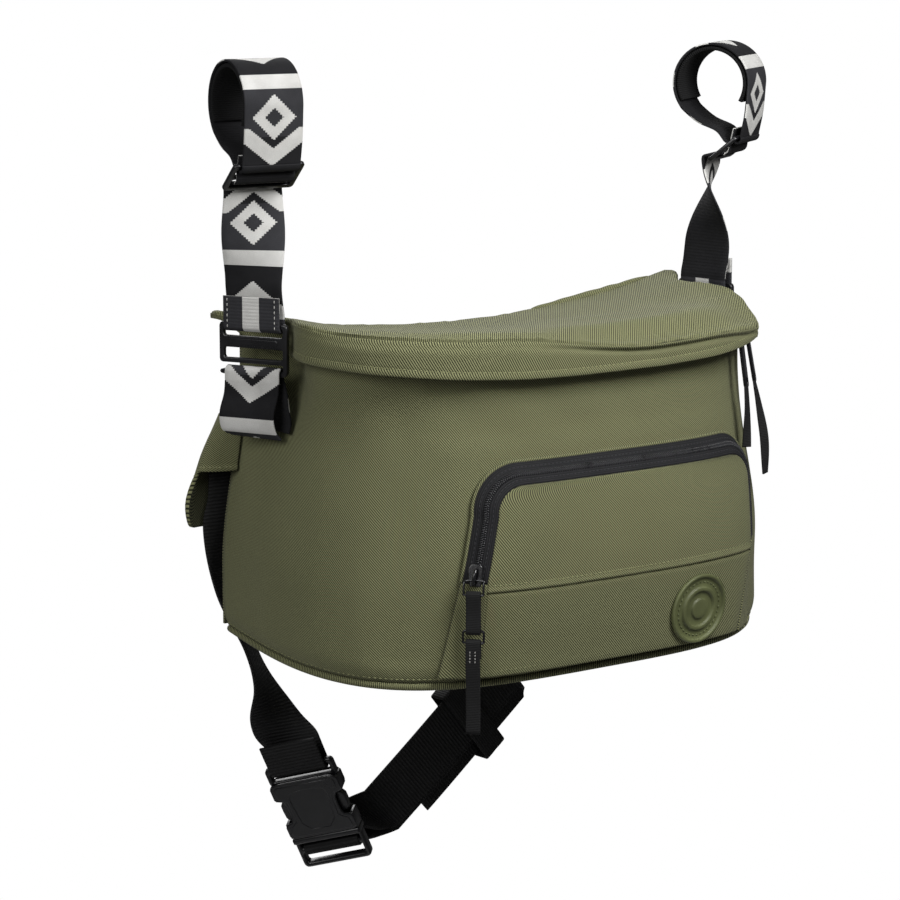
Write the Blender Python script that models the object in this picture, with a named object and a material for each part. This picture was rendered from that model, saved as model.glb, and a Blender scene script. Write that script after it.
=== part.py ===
"""Stroller organizer: a crescent bag that hangs from two webbing loops.

Lengths in this file are in millimetres and become metres where the meshes are made.
Origin: midway between the centres of the two strap loops.
+X to the right as seen from the front, -Y towards the front, +Z up.
"""
import math

import bpy
from mathutils import Matrix, Vector

MM = 0.001

# Shared clearances
SEAT_GAP = 0.3          # between two pieces that touch
CLOTH = 2.4             # body cloth with its foam and lining
FINE_CLOTH = 2.0        # pocket cloth

# Body of the bag
Y_BACK = 39.0           # plane where the front panel meets the back panel
BODY_POWER = 3.3        # roundness of the crescent seen from above
TOP_HALF_WIDTH = 158.0
TOP_DEPTH = 147.0
WIDTH_FLARE = 14.0      # the body widens towards its bottom
DEPTH_FLARE = 8.0
FLARE_START = -165.0
FLARE_LENGTH = 115.0
WALL_TOP = -141.0
WALL_TOP_SAG = 8.0
BOTTOM_FRONT = -331.0   # the bottom edge rises from the front to the back
BOTTOM_RISE = 15.0
BOTTOM_THICK = 5.0
BACK_THICK = 5.0

# Where the straps pull the top of the sides inwards
PINCH = 14.0
PINCH_Y = -2.0
PINCH_REACH = 24.0
PINCH_FADE_LOW = -212.0
PINCH_FADE_LENGTH = 50.0

# Lid
LID_OVERHANG = 8.0      # how far the lid reaches past the top of the body
LID_HALF_WIDTH = TOP_HALF_WIDTH + LID_OVERHANG
LID_DEPTH = TOP_DEPTH + LID_OVERHANG
LID_POWER = 3.6
LID_TOP = -121.0
LID_FRONT_SAG = 9.0
LID_BACK_SAG = 21.0
LID_RIGHT_DROOP = 7.0   # the soft right front corner hangs lower
LID_TIP = 9.0           # how far the back corners reach past the sides
RIM_LOW = -147.0
RIM_SAG = 10.0
RIM_BACK_DROP = 5.5

# Main zip
ZIP_INSET = 1.0
TAPE = 1.2

# Front pocket, drawn on the front panel in (x, z)
POCKET_LEFT = -92.0
POCKET_LEFT_FLARE = 21.6
POCKET_RIGHT = 121.0
POCKET_TOP = -204.0
POCKET_LOW = -327.0
POCKET_CORNER = 29.0
POCKET_INSET = 12.0     # width of the sloping zip band
POCKET_LIFT = 10.0      # how far the pocket stands off the body
POCKET_DOME = 3.0
POCKET_SEAM = -277.0
ZIP_END = -271.0

# Webbing
STRAP_WIDTH = 37.0
STRAP_THICK = 1.6
BELT_THICK = 1.8
FOLD_RADIUS = 3.1       # centre line of webbing folded round a hook's bar

# Strap loops
LOOP_RADIUS = 20.5      # clear radius inside the lining
LINING_THICK = 2.4


def material(name, color, roughness):
    """One plain surface for one sub-part."""
    made = bpy.data.materials.new(name)
    made.use_nodes = True
    shader = made.node_tree.nodes["Principled BSDF"]
    shader.inputs["Base Color"].default_value = (*color, 1.0)
    shader.inputs["Roughness"].default_value = roughness
    return made


OLIVE = (0.135, 0.140, 0.062)
BLACK = (0.012, 0.012, 0.013)
CHARCOAL = (0.055, 0.055, 0.062)
WOVEN = (0.10, 0.10, 0.11)


def add_mesh(name, points, faces, color, roughness=0.8, placing=None, smooth=True):
    """Make one closed object from millimetre points."""
    mesh = bpy.data.meshes.new(name)
    mesh.from_pydata([Vector(point) * MM for point in points], [], faces)
    mesh.validate()
    if smooth:
        mesh.shade_smooth()
    else:
        mesh.shade_flat()
    made = bpy.data.objects.new(name, mesh)
    bpy.context.scene.collection.objects.link(made)
    made.data.materials.append(material(name, color, roughness))
    if placing is not None:
        made.matrix_world = placing
    return made


def put_origin(name, spot):
    """Move a piece's origin onto the axis it turns about, the piece itself stays."""
    made = bpy.data.objects[name]
    bpy.context.view_layer.update()
    local = made.matrix_world.inverted() @ (spot * MM)
    made.data.transform(Matrix.Translation(-local))
    made.matrix_world = made.matrix_world @ Matrix.Translation(local)


def ease(value):
    """Smooth step from 0 to 1."""
    value = min(1.0, max(0.0, value))
    return value * value * (3.0 - 2.0 * value)


def mix(start, end, share):
    return start + (end - start) * share


def spread(start, end, count):
    """Evenly spaced values, both ends included."""
    return [mix(start, end, index / (count - 1)) for index in range(count)]


# Mesh builders

def thick_sheet(name, point_at, us, vs, low, high, color, looped=False):
    """Closed sheet between point_at(u, v, low) and point_at(u, v, high)."""
    rows, columns = len(vs), len(us)
    points = [point_at(u, v, high) for v in vs for u in us]
    points += [point_at(u, v, low) for v in vs for u in us]
    half = rows * columns
    faces = []
    last = columns if looped else columns - 1
    for row in range(rows - 1):
        for column in range(last):
            right = (column + 1) % columns
            a, b = row * columns + column, row * columns + right
            c, d = b + columns, a + columns
            faces.append((a, b, c, d))
            faces.append((half + d, half + c, half + b, half + a))
    for column in range(last):
        right = (column + 1) % columns
        a, b = column, right
        faces.append((b, a, half + a, half + b))
        a, b = (rows - 1) * columns + column, (rows - 1) * columns + right
        faces.append((a, b, half + b, half + a))
    if not looped:
        for row in range(rows - 1):
            a, b = row * columns, (row + 1) * columns
            faces.append((a, b, half + b, half + a))
            a, b = a + columns - 1, b + columns - 1
            faces.append((b, a, half + a, half + b))
    return turned_out(add_mesh(name, points, faces, color))


def turned_out(made):
    """Turn every face outwards."""
    mesh = made.data
    volume = 0.0
    mesh.calc_loop_triangles()
    for triangle in mesh.loop_triangles:
        a, b, c = [mesh.vertices[index].co for index in triangle.vertices]
        volume += a.dot(b.cross(c))
    if volume < 0.0:
        mesh.flip_normals()
    return made


def ring_solid(name, rings, color, looped=False):
    """Skin over rings with equal counts; ends are closed by flat caps or joined."""
    count = len(rings[0])
    points = [point for ring in rings for point in ring]
    faces = []
    steps = len(rings) if looped else len(rings) - 1
    for step in range(steps):
        base, after = step * count, ((step + 1) % len(rings)) * count
        for index in range(count):
            right = (index + 1) % count
            faces.append((base + index, base + right, after + right, after + index))
    if not looped:
        faces.append(tuple(reversed(range(count))))
        faces.append(tuple(range(len(points) - count, len(points))))
    return turned_out(add_mesh(name, points, faces, color))


def curve_through(keys, steps):
    """Smooth path through key tuples of vectors."""
    path = []
    last = len(keys) - 1
    for index in range(last):
        before, start = keys[max(index - 1, 0)], keys[index]
        end, after = keys[index + 1], keys[min(index + 2, last)]
        for step in range(steps):
            t = step / steps
            row = []
            for a, b, c, d in zip(before, start, end, after):
                bend = (2 * a - 5 * b + 4 * c - d) * t * t + (3 * b - a - 3 * c + d) * t ** 3
                row.append((2 * b + (c - a) * t + bend) * 0.5)
            path.append(tuple(row))
    path.append(tuple(keys[last]))
    return path


def ribbon(name, path, width, thick, color):
    """Flat webbing along (centre, width direction) pairs."""
    rings = []
    for index, (centre, across) in enumerate(path):
        before = path[max(index - 1, 0)][0]
        after = path[min(index + 1, len(path) - 1)][0]
        along = (after - before).normalized()
        side = across.normalized() * (width / 2)
        face = along.cross(side).normalized() * (thick / 2)
        rings.append([centre - side - face, centre + side - face,
                      centre + side + face, centre - side + face])
    return ring_solid(name, rings, color)


def tube(name, path, radius, color, closed=False, sides=8):
    """Round wire along a path."""
    rings = []
    count = len(path)
    lean = Vector((0.31, 0.87, 0.39))
    for index, centre in enumerate(path):
        before = path[(index - 1) % count] if closed else path[max(index - 1, 0)]
        after = path[(index + 1) % count] if closed else path[min(index + 1, count - 1)]
        along = (after - before).normalized()
        out = (lean - along * lean.dot(along)).normalized()
        up = along.cross(out)
        rings.append([centre + (out * math.cos(turn) + up * math.sin(turn)) * radius
                      for turn in spread(0.0, math.tau, sides + 1)[:-1]])
        lean = out
    return ring_solid(name, rings, color, looped=closed)


def blocks(name, xs, ys, zs, filled, color, placing, bevel=0.0):
    """Solid made of the filled boxes between the given planes, edges rounded."""
    index_of = {}
    points = []
    faces = []

    def corner(i, j, k):
        if (i, j, k) not in index_of:
            index_of[(i, j, k)] = len(points)
            points.append((xs[i], ys[j], zs[k]))
        return index_of[(i, j, k)]

    def solid(i, j, k):
        inside = 0 <= i < len(xs) - 1 and 0 <= j < len(ys) - 1 and 0 <= k < len(zs) - 1
        if not inside:
            return False
        return filled((xs[i] + xs[i + 1]) / 2, (ys[j] + ys[j + 1]) / 2, (zs[k] + zs[k + 1]) / 2)

    for i in range(len(xs) - 1):
        for j in range(len(ys) - 1):
            for k in range(len(zs) - 1):
                if not solid(i, j, k):
                    continue
                if not solid(i - 1, j, k):
                    faces.append([(i, j, k), (i, j, k + 1), (i, j + 1, k + 1), (i, j + 1, k)])
                if not solid(i + 1, j, k):
                    faces.append([(i + 1, j, k), (i + 1, j + 1, k),
                                  (i + 1, j + 1, k + 1), (i + 1, j, k + 1)])
                if not solid(i, j - 1, k):
                    faces.append([(i, j, k), (i + 1, j, k), (i + 1, j, k + 1), (i, j, k + 1)])
                if not solid(i, j + 1, k):
                    faces.append([(i, j + 1, k), (i, j + 1, k + 1),
                                  (i + 1, j + 1, k + 1), (i + 1, j + 1, k)])
                if not solid(i, j, k - 1):
                    faces.append([(i, j, k), (i, j + 1, k), (i + 1, j + 1, k), (i + 1, j, k)])
                if not solid(i, j, k + 1):
                    faces.append([(i, j, k + 1), (i + 1, j, k + 1),
                                  (i + 1, j + 1, k + 1), (i, j + 1, k + 1)])
    faces = [[corner(*spot) for spot in face] for face in faces]
    made = add_mesh(name, points, faces, color, 0.4, placing, smooth=False)
    if bevel:
        rounding = made.modifiers.new("rounded edges", "BEVEL")
        rounding.width = bevel * MM
        rounding.segments = 1
        rounding.limit_method = "ANGLE"
        rounding.angle_limit = math.radians(40.0)
    return made


def frame_at(centre, across, up):
    """Placing with local X along across, local Z near up, centre in millimetres."""
    x_axis = across.normalized()
    z_axis = (up - x_axis * up.dot(x_axis)).normalized()
    y_axis = z_axis.cross(x_axis)
    turn = Matrix((x_axis, y_axis, z_axis)).transposed().to_4x4()
    return Matrix.Translation(centre * MM) @ turn


# Shape of the bag

def half_width(z):
    return TOP_HALF_WIDTH + WIDTH_FLARE * ease((FLARE_START - z) / FLARE_LENGTH)


def depth(z):
    return TOP_DEPTH + DEPTH_FLARE * ease((FLARE_START - z) / FLARE_LENGTH)


def crescent(turn, wide, deep, power):
    """Point on the outline, turn 0 at the left back corner and 1 at the right."""
    cosine, sine = math.cos(math.pi * turn), math.sin(math.pi * turn)
    x = -wide * math.copysign(abs(cosine) ** (2.0 / power), cosine)
    y = Y_BACK - deep * abs(sine) ** (2.0 / power)
    return x, y


def pinched(x, y, z):
    """Pull the upper sides in where the straps hang."""
    pull = PINCH * math.exp(-((y - PINCH_Y) / PINCH_REACH) ** 2)
    pull *= ease((z - PINCH_FADE_LOW) / PINCH_FADE_LENGTH) * min(1.0, abs(x) / TOP_HALF_WIDTH) ** 4
    return x - math.copysign(pull, x), y, z


def bottom_edge(y):
    """Height of the bottom seam, rising towards the back."""
    share = (y - (Y_BACK - TOP_DEPTH)) / TOP_DEPTH
    return BOTTOM_FRONT + BOTTOM_RISE * max(0.0, share) ** 1.5


def top_edge(x, top=WALL_TOP, sag=WALL_TOP_SAG):
    return top - sag * (1.0 - min(1.0, (x / TOP_HALF_WIDTH) ** 2))


def lid_height(x, y):
    """Top of the lid: it hangs between the straps and lower at the back."""
    back = (y - (Y_BACK - LID_DEPTH)) / LID_DEPTH
    back = min(1.0, max(0.0, back))
    sag = mix(LID_FRONT_SAG, LID_BACK_SAG, ease(back))
    dip = 1.0 - min(1.0, (x / (LID_HALF_WIDTH + LID_TIP)) ** 2)
    droop = LID_RIGHT_DROOP * ease((x - 80.0) / 80.0) * ease((-10.0 - y) / 60.0)
    return LID_TOP - 3.0 * back - sag * dip - droop


def front_point(turn, z_share, lift):
    """Front panel: outline turn, share of height, lift from the outer face."""
    wide, deep = TOP_HALF_WIDTH, TOP_DEPTH
    x, y = crescent(turn, wide, deep, BODY_POWER)
    z = mix(bottom_edge(y), top_edge(x), z_share)
    wide, deep = half_width(z), depth(z)
    x, y = crescent(turn, wide + lift, deep + lift, BODY_POWER)
    return pinched(x, y, z)


def on_front(x, z, lift):
    """Point over the front panel at x, z, moved out by lift."""
    wide, deep = half_width(z), depth(z)
    share = min(0.999, abs(x) / wide)
    reach = (1.0 - share ** BODY_POWER) ** (1.0 / BODY_POWER)
    normal_x = math.copysign((abs(x) / wide) ** (BODY_POWER - 1.0) / wide, x)
    normal_y = -(reach ** (BODY_POWER - 1.0)) / deep
    size = math.hypot(normal_x, normal_y)
    return Vector((x + lift * normal_x / size, Y_BACK - deep * reach + lift * normal_y / size, z))


def make_front_panel():
    thick_sheet("front_panel", front_point, spread(0.0, 1.0, 57), spread(0.0, 1.0, 10),
                -CLOTH, 0.0, OLIVE)


def make_back_panel():
    def point_at(u, v, lift):
        low = bottom_edge(Y_BACK) + 1.0
        x = u * (TOP_HALF_WIDTH - 1.0)
        high = lid_height(x, Y_BACK) - CLOTH - 2.5 * SEAT_GAP
        z = mix(low, high, v)
        return u * (half_width(z) - 1.0), Y_BACK + SEAT_GAP + lift, z
    thick_sheet("back_panel", point_at, spread(-1.0, 1.0, 21), spread(0.0, 1.0, 12),
                0.0, BACK_THICK, OLIVE)


def make_bottom_panel():
    """Stiffened bottom with a rounded lower edge, seated under the front panel."""
    rings = []
    for inset, drop in ((0.4, SEAT_GAP), (0.0, 2.5), (3.0, BOTTOM_THICK), (12.0, BOTTOM_THICK + 1.6)):
        ring = []
        for turn in spread(0.0, 1.0, 57):
            x, y = crescent(turn, half_width(BOTTOM_FRONT) - inset, depth(BOTTOM_FRONT) - inset,
                            BODY_POWER)
            ring.append((x, y, bottom_edge(y) - drop))
        for x in spread(half_width(BOTTOM_FRONT) - inset, inset - half_width(BOTTOM_FRONT), 14)[1:-1]:
            ring.append((x, Y_BACK, bottom_edge(Y_BACK) - drop))
        rings.append(ring)
    middle = (0.0, (2 * Y_BACK - TOP_DEPTH) / 2)

    def drawn_in(ring, share, drop):
        drawn = []
        for x, y, _ in ring:
            new_x, new_y = mix(middle[0], x, share), mix(middle[1], y, share)
            drawn.append((new_x, new_y, bottom_edge(new_y) - drop))
        return drawn

    inner = [drawn_in(rings[0], share, SEAT_GAP) for share in (0.06, 0.4, 0.75)]
    outer = [drawn_in(rings[-1], share, BOTTOM_THICK + 1.6) for share in (0.75, 0.4, 0.06)]
    ring_solid("bottom_panel", inner + rings + outer, OLIVE)


def lid_outline(inset):
    """Closed outline of the lid; the back corners reach outwards as tips."""
    wide, deep = LID_HALF_WIDTH - inset, LID_DEPTH - inset
    outline = []
    for turn in spread(0.0, 1.0, 49):
        x, y = crescent(turn, wide, deep, LID_POWER)
        tip = ease((y - 12.0) / 27.0) * LID_TIP
        outline.append((x + math.copysign(tip, x), y))
    back_y = Y_BACK + BACK_THICK + 2 * SEAT_GAP + CLOTH - inset
    for x in spread(wide + LID_TIP - 1.5, 1.5 - wide - LID_TIP, 15):
        outline.append((x, back_y))
    return outline


def rim_height(x, y):
    """Lower edge of the lid's rim: deep at the front, shallow at the back."""
    front = RIM_LOW - RIM_SAG * (1.0 - min(1.0, (x / LID_HALF_WIDTH) ** 2))
    back = lid_height(x, y) - RIM_BACK_DROP
    return mix(front, back, ease((y - 8.0) / 30.0))


def make_lid_panel():
    middle_y = Y_BACK - LID_DEPTH * 0.45

    def ring(inset, height_of):
        return [pinched(x, y, height_of(x, y)) for x, y in lid_outline(inset)]

    def drawn_in(inset, share, below):
        drawn = []
        for x, y in lid_outline(inset):
            new_x, new_y = x * share, mix(middle_y, y, share)
            drawn.append(pinched(new_x, new_y, lid_height(new_x, new_y) - below))
        return drawn

    outer = [drawn_in(3.0, share, 0.0) for share in (0.05, 0.3, 0.6, 0.85)]
    outer.append(ring(3.0, lid_height))
    outer.append(ring(0.6, lambda x, y: lid_height(x, y) - 1.6))
    outer.append(ring(0.0, lambda x, y: mix(lid_height(x, y), rim_height(x, y), 0.5)))
    outer.append(ring(0.0, rim_height))
    inner = [ring(CLOTH, rim_height)]
    inner.append(ring(CLOTH, lambda x, y: mix(lid_height(x, y) - CLOTH, rim_height(x, y), 0.5)))
    inner.append(ring(CLOTH + 0.2, lambda x, y: lid_height(x, y) - CLOTH))
    inner += [drawn_in(CLOTH + 1.5, share, CLOTH) for share in (0.85, 0.6, 0.3, 0.05)]
    ring_solid("lid_panel", outer + inner, OLIVE)


def zip_tape_point(turn, share, lift):
    """Main zip between the front panel's upper edge and the underside of the lid."""
    wide, deep = TOP_HALF_WIDTH - ZIP_INSET, TOP_DEPTH - ZIP_INSET
    x, y = crescent(turn, wide + lift, deep + lift, BODY_POWER)
    plain_x, plain_y = crescent(turn, wide, deep, BODY_POWER)
    low = top_edge(plain_x) + SEAT_GAP
    high = lid_height(plain_x, plain_y) - CLOTH - 2.5 * SEAT_GAP
    return pinched(x, y, mix(low, high, share))


def make_main_zip():
    thick_sheet("main_zip", zip_tape_point, spread(0.02, 0.98, 49), spread(0.0, 1.0, 3),
                -TAPE, 0.0, CHARCOAL)


# Pull tabs and sliders

def make_main_pull(name, turn, lean, tail_bend):
    """Slider on the main zip with a long metal puller and a webbing tail."""
    seat = Vector(zip_tape_point(turn, 0.42, SEAT_GAP))
    ahead = Vector(zip_tape_point(turn + 0.01, 0.42, SEAT_GAP))
    along = (ahead - seat).normalized()
    out = along.cross(Vector((0.0, 0.0, 1.0)))
    placing = frame_at(seat + out * 2.2, along, Vector((0, 0, 1)))
    blocks("main_slider_" + name, [-5.5, 5.5], [-2.2, 2.2], [-3.8, 3.8],
           lambda x, y, z: True, BLACK, placing, 0.8)

    def hung(drop, reach):
        return seat + out * (4.4 + SEAT_GAP + 1.4 + reach) - Vector((0, 0, drop))

    start = hung(-1.0, 0.0)
    end = hung(35.0, lean)
    rod = (end - start).normalized()
    blocks("main_puller_" + name, [-2.6, 2.6], [-1.2, 1.2], [-18.0, 18.0], lambda x, y, z: True,
           BLACK, frame_at((start + end) / 2, along, -rod), 0.7)
    root = end + rod * (SEAT_GAP + 0.4)
    keys = [(root, along)]
    for drop, reach, twist in tail_bend:
        turned = along * math.cos(twist) + out * math.sin(twist)
        keys.append((root + out * reach - Vector((0, 0, drop)), turned))
    ribbon("main_tail_" + name, curve_through(keys, 4), 6.0, 1.2, BLACK)
    put_origin("main_puller_" + name, start)
    put_origin("main_tail_" + name, start)


# Front pocket

def pocket_left(z):
    """The left side of the pocket spreads towards the bottom."""
    start = POCKET_TOP - POCKET_CORNER
    share = max(0.0, start - z) / (start - POCKET_LOW)
    return POCKET_LEFT - POCKET_LEFT_FLARE * share


def pocket_sides(z, inset):
    """Left and right limits of the pocket at height z."""
    corner = POCKET_CORNER - inset
    above = z - (POCKET_TOP - POCKET_CORNER)
    cut = 0.0
    if above > 0.0:
        cut = corner - math.sqrt(max(0.0, corner * corner - above * above))
    return pocket_left(z) + inset + cut, POCKET_RIGHT - inset - cut


def pocket_path(inset):
    """Zip line from the left lower end, over the top, to the right lower end."""
    corner = POCKET_CORNER - inset
    turn_z = POCKET_TOP - POCKET_CORNER
    path = [(pocket_left(z) + inset, z) for z in spread(ZIP_END, turn_z, 6)[:-1]]
    centre = POCKET_LEFT + POCKET_CORNER
    path += [(centre - corner * math.cos(a), turn_z + corner * math.sin(a))
             for a in spread(0.0, math.pi / 2, 8)]
    far = POCKET_RIGHT - POCKET_CORNER
    path += [(x, POCKET_TOP - inset) for x in spread(centre, far, 12)[1:-1]]
    path += [(far + corner * math.sin(a), turn_z + corner * math.cos(a))
             for a in spread(0.0, math.pi / 2, 8)]
    path += [(POCKET_RIGHT - inset, z) for z in spread(turn_z, ZIP_END, 6)[1:]]
    return path


def band_lift(share):
    """The zip band climbs from the body to the pocket's face, its coil a low ridge."""
    ridge = 0.9 * math.exp(-((share - 0.5) / 0.12) ** 2)
    return mix(FINE_CLOTH / 2 + SEAT_GAP, POCKET_LIFT, share ** 0.8) + ridge


def make_pocket_zip():
    outer = pocket_path(0.0)
    inner = pocket_path(POCKET_INSET)

    def point_at(step, share, lift):
        x = mix(outer[step][0], inner[step][0], share)
        z = mix(outer[step][1], inner[step][1], share)
        return on_front(x, z, band_lift(share) + lift)

    thick_sheet("pocket_zip", point_at, list(range(len(outer))), [0.0, 0.3, 0.42, 0.5, 0.58, 0.7, 1.0],
                -TAPE / 2, TAPE / 2, CHARCOAL)


def make_pocket_gusset(name, side):
    """Cloth side of the pocket below the zip's end, a pleat that widens downwards."""
    def point_at(v, share, lift):
        z = mix(POCKET_LOW, ZIP_END - SEAT_GAP, v)
        spread_in = POCKET_INSET + 9.0 * (1.0 - v)
        left, right = pocket_sides(z, 0.0)
        x = left + spread_in * share if side < 0 else right - spread_in * share
        height = mix(FINE_CLOTH / 2 + SEAT_GAP, POCKET_LIFT * mix(0.75, 1.0, v), share ** 0.8)
        return on_front(x, z, height + lift)
    thick_sheet(name, point_at, spread(0.0, 1.0, 6), spread(0.0, 1.0, 5),
                -FINE_CLOTH / 2, FINE_CLOTH / 2, OLIVE)


def pocket_face(x, z):
    """Lift of the pocket's middle surface: a low dome that runs down to the bottom seam."""
    across = 1.0 - min(1.0, ((x - (POCKET_LEFT + POCKET_RIGHT) / 2) / 100.0) ** 2)
    upright = 1.0 - min(1.0, ((z + 268.0) / 62.0) ** 2)
    tuck = 0.25 * POCKET_LIFT * ease((ZIP_END - z) / (ZIP_END - POCKET_LOW))
    return POCKET_LIFT + POCKET_DOME * across * upright - tuck


def make_pocket_panel(name, low, high, rows):
    def point_at(u, z, lift):
        inset = POCKET_INSET + SEAT_GAP
        if z < ZIP_END:
            inset += 9.0 * (ZIP_END - z) / (ZIP_END - POCKET_LOW)
        left, right = pocket_sides(z, inset)
        x = mix(left, right, u)
        return on_front(x, z, pocket_face(x, z) + lift)
    thick_sheet(name, point_at, spread(0.0, 1.0, 15), spread(low, high, rows),
                -FINE_CLOTH / 2, FINE_CLOTH / 2, OLIVE)


BADGE_X = 61.0
BADGE_Z = -305.0
BADGE_RADIUS = 21.5
BADGE_THICK = 2.2


def make_badge():
    """Round rubber patch that follows the pocket."""
    rings = []
    seat = FINE_CLOTH / 2 + SEAT_GAP
    for radius, lift in ((1.0, seat), (12.0, seat), (BADGE_RADIUS, seat),
                         (BADGE_RADIUS, seat + BADGE_THICK), (BADGE_RADIUS - 2.2, seat + BADGE_THICK),
                         (BADGE_RADIUS - 3.0, seat + 1.3), (12.0, seat + 1.3), (1.0, seat + 1.3)):
        ring = []
        for turn in spread(0.0, math.tau, 29)[:-1]:
            x = BADGE_X + radius * math.cos(turn)
            z = BADGE_Z + radius * math.sin(turn)
            ring.append(on_front(x, z, pocket_face(x, z) + lift))
        rings.append(ring)
    ring_solid("badge_patch", rings, OLIVE)


# The pocket's slider runs on the straight left stretch of the zip.
SLIDER_Z = -266.0
SLIDER_END_Z = -236.0
SLIDER_THICK = 4.6
WIRE = 0.7
BAIL_DROP = 8.0         # from the bail's pivot to the webbing that hangs on it
PULL_LENGTH = 21.0      # folded webbing between the bail and the ring
RING_LENGTH = 7.0
TAB_LENGTH = 54.0


def band_spot(z, share, lift):
    """Point on the left stretch of the pocket's zip band."""
    return on_front(pocket_left(z) + POCKET_INSET * share, z, band_lift(share) + lift)


def wire_loop(name, corners):
    """Closed wire through rounded corners."""
    rounded = curve_through([(point,) for point in corners + corners[:1]], 3)
    tube(name, [point for (point,) in rounded][:-1], WIRE, BLACK, closed=True)


def slider_filled(x, y, z):
    """Slider body with a raised bridge; the wire passes under the bridge."""
    if y < -0.1:
        return True
    if abs(x) > 1.3:
        return False
    if y > 2.1:
        return z < 3.6
    return z < -4.6 or -1.4 < z < 3.6


def make_pocket_pull():
    """Slider, wire bail, folded webbing, ring and tab, in a hanging chain."""
    low, high = band_spot(SLIDER_Z, 0.5, 0.0), band_spot(SLIDER_END_Z, 0.5, 0.0)
    track = (high - low).normalized()
    across = band_spot(SLIDER_Z, 0.75, 0.0) - band_spot(SLIDER_Z, 0.25, 0.0)
    across = Vector((across.x, across.y, 0.0)).normalized()
    out = across.cross(Vector((0, 0, 1)))
    face = across.cross(track).normalized()
    middle = low + face * (TAPE / 2 + SEAT_GAP + SLIDER_THICK / 2)
    blocks("pocket_slider", [-4.3, -1.3, 1.3, 4.3], [-2.3, -0.1, 2.1, 3.1],
           [-6.5, -4.6, -1.4, 3.6, 6.5], slider_filled, BLACK,
           frame_at(middle, across * -1.0, track), 0.0)
    pivot = middle + face * 1.0 - track * 3.0

    def hung(side, lift, drop):
        return pivot + across * side + out * lift - Vector((0, 0, drop))

    wire_loop("pocket_bail", [hung(-4.8, 0.0, 0.0), hung(4.8, 0.0, 0.0), hung(5.7, 1.0, 1.6),
                              hung(5.7, 2.0, 6.6), hung(4.8, 2.2, BAIL_DROP), hung(-4.8, 2.2, BAIL_DROP),
                              hung(-5.7, 2.0, 6.6), hung(-5.7, 1.0, 1.6)])
    fold = 1.9
    top, bottom = BAIL_DROP, BAIL_DROP + PULL_LENGTH
    outline = [(-math.cos(turn) * fold, top - math.sin(turn) * fold)
               for turn in spread(0.0, math.pi, 7)]
    outline += [(math.cos(turn) * fold, bottom + math.sin(turn) * fold)
                for turn in spread(0.0, math.pi, 7)]
    centres = [hung(0.0, 2.2 + reach, drop) for reach, drop in outline]
    rings = []
    for index, centre in enumerate(centres):
        ahead = centres[(index + 1) % len(centres)]
        thin = (ahead - centres[index - 1]).normalized().cross(across) * 0.5
        side = across * 4.2
        rings.append([centre - side - thin, centre + side - thin,
                      centre + side + thin, centre - side + thin])
    ring_solid("pocket_pull_loop", rings, BLACK, looped=True)

    wire_loop("pocket_ring", [hung(side, 2.2, bottom + drop) for side, drop in (
        (-4.9, 0.0), (4.9, 0.0), (6.0, 1.4), (6.0, RING_LENGTH - 1.4), (4.9, RING_LENGTH),
        (-4.9, RING_LENGTH), (-6.0, RING_LENGTH - 1.4), (-6.0, 1.4))])
    ring_spot = bottom + RING_LENGTH
    drops = [(-1.7, 10.0), (-1.7, 4.0)]
    drops += [(-math.cos(turn) * 1.7, -math.sin(turn) * 1.7) for turn in spread(0.0, math.pi, 7)]
    drops += [(1.7, 4.0), (1.5, 14.0), (0.6, 28.0), (0.2, 42.0), (0.6, TAB_LENGTH)]
    path = [(hung(0.0, 2.2 + reach, ring_spot + drop), across) for reach, drop in drops]
    ribbon("pocket_tab", path, 8.6, 1.0, BLACK)
    for name in ("pocket_bail", "pocket_pull_loop"):
        put_origin(name, pivot)
    for name in ("pocket_ring", "pocket_tab"):
        put_origin(name, hung(0.0, 2.2, bottom))


# Side wings

WING_TOP = -188.0
WING_LOW_BACK = -256.0
WING_LOW_FRONT = -220.0
WING_SWELL = 5.0        # how far the outer fold bulges half-way down

# Wing section from its back seam round to its front seam:
# distance past the side of the body at the top and at the bottom, y at the top and at the bottom
WING_SECTION = (
    (-38.0, -38.0, 45.5, 45.5),
    (-32.5, -33.5, 50.2, 51.6),
    (-4.0, 0.0, 50.4, 51.8),
    (6.0, 15.0, 50.0, 51.0),
    (8.6, 23.5, 45.5, 46.5),
    (8.8, 24.5, 40.5, 40.5),
    (7.0, 19.0, 36.5, 35.5),
    (3.6, 9.0, 33.5, 32.0),
    (1.4, 1.4, 32.0, 30.5),
)


def make_wing(name, side):
    """Cloth sleeve on the back corner; the waist webbing comes out of its open lower end."""
    last = len(WING_SECTION) - 1

    def centre(step, z, share):
        top_reach, low_reach, top_y, low_y = WING_SECTION[step]
        reach = mix(low_reach, top_reach, share)
        if low_reach > 0.0:
            reach += WING_SWELL * math.sin(math.pi * share) * low_reach / WING_SECTION[5][1]
        return half_width(z) + reach, mix(low_y, top_y, share)

    def point_at(step, v, lift):
        low = mix(WING_LOW_BACK, WING_LOW_FRONT, ease((step - 3) / 2))
        z = mix(low, WING_TOP, v)
        share = (z - WING_LOW_BACK) / (WING_TOP - WING_LOW_BACK)
        x, y = centre(step, z, share)
        next_x, next_y = centre(min(step + 1, last), z, share)
        past_x, past_y = centre(max(step - 1, 0), z, share)
        size = math.hypot(next_x - past_x, next_y - past_y)
        out_x, out_y = -(next_y - past_y) / size, (next_x - past_x) / size
        return side * (x + out_x * lift), y + out_y * lift, z

    thick_sheet(name, point_at, list(range(last + 1)), spread(0.0, 1.0, 7), -0.9, 0.9, OLIVE)


# Straps

def facing(turn):
    """Width direction and outward direction for a level webbing turned about Z."""
    across = Vector((math.cos(turn), math.sin(turn), 0.0))
    return across, Vector((math.sin(turn), -math.cos(turn), 0.0))


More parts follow.
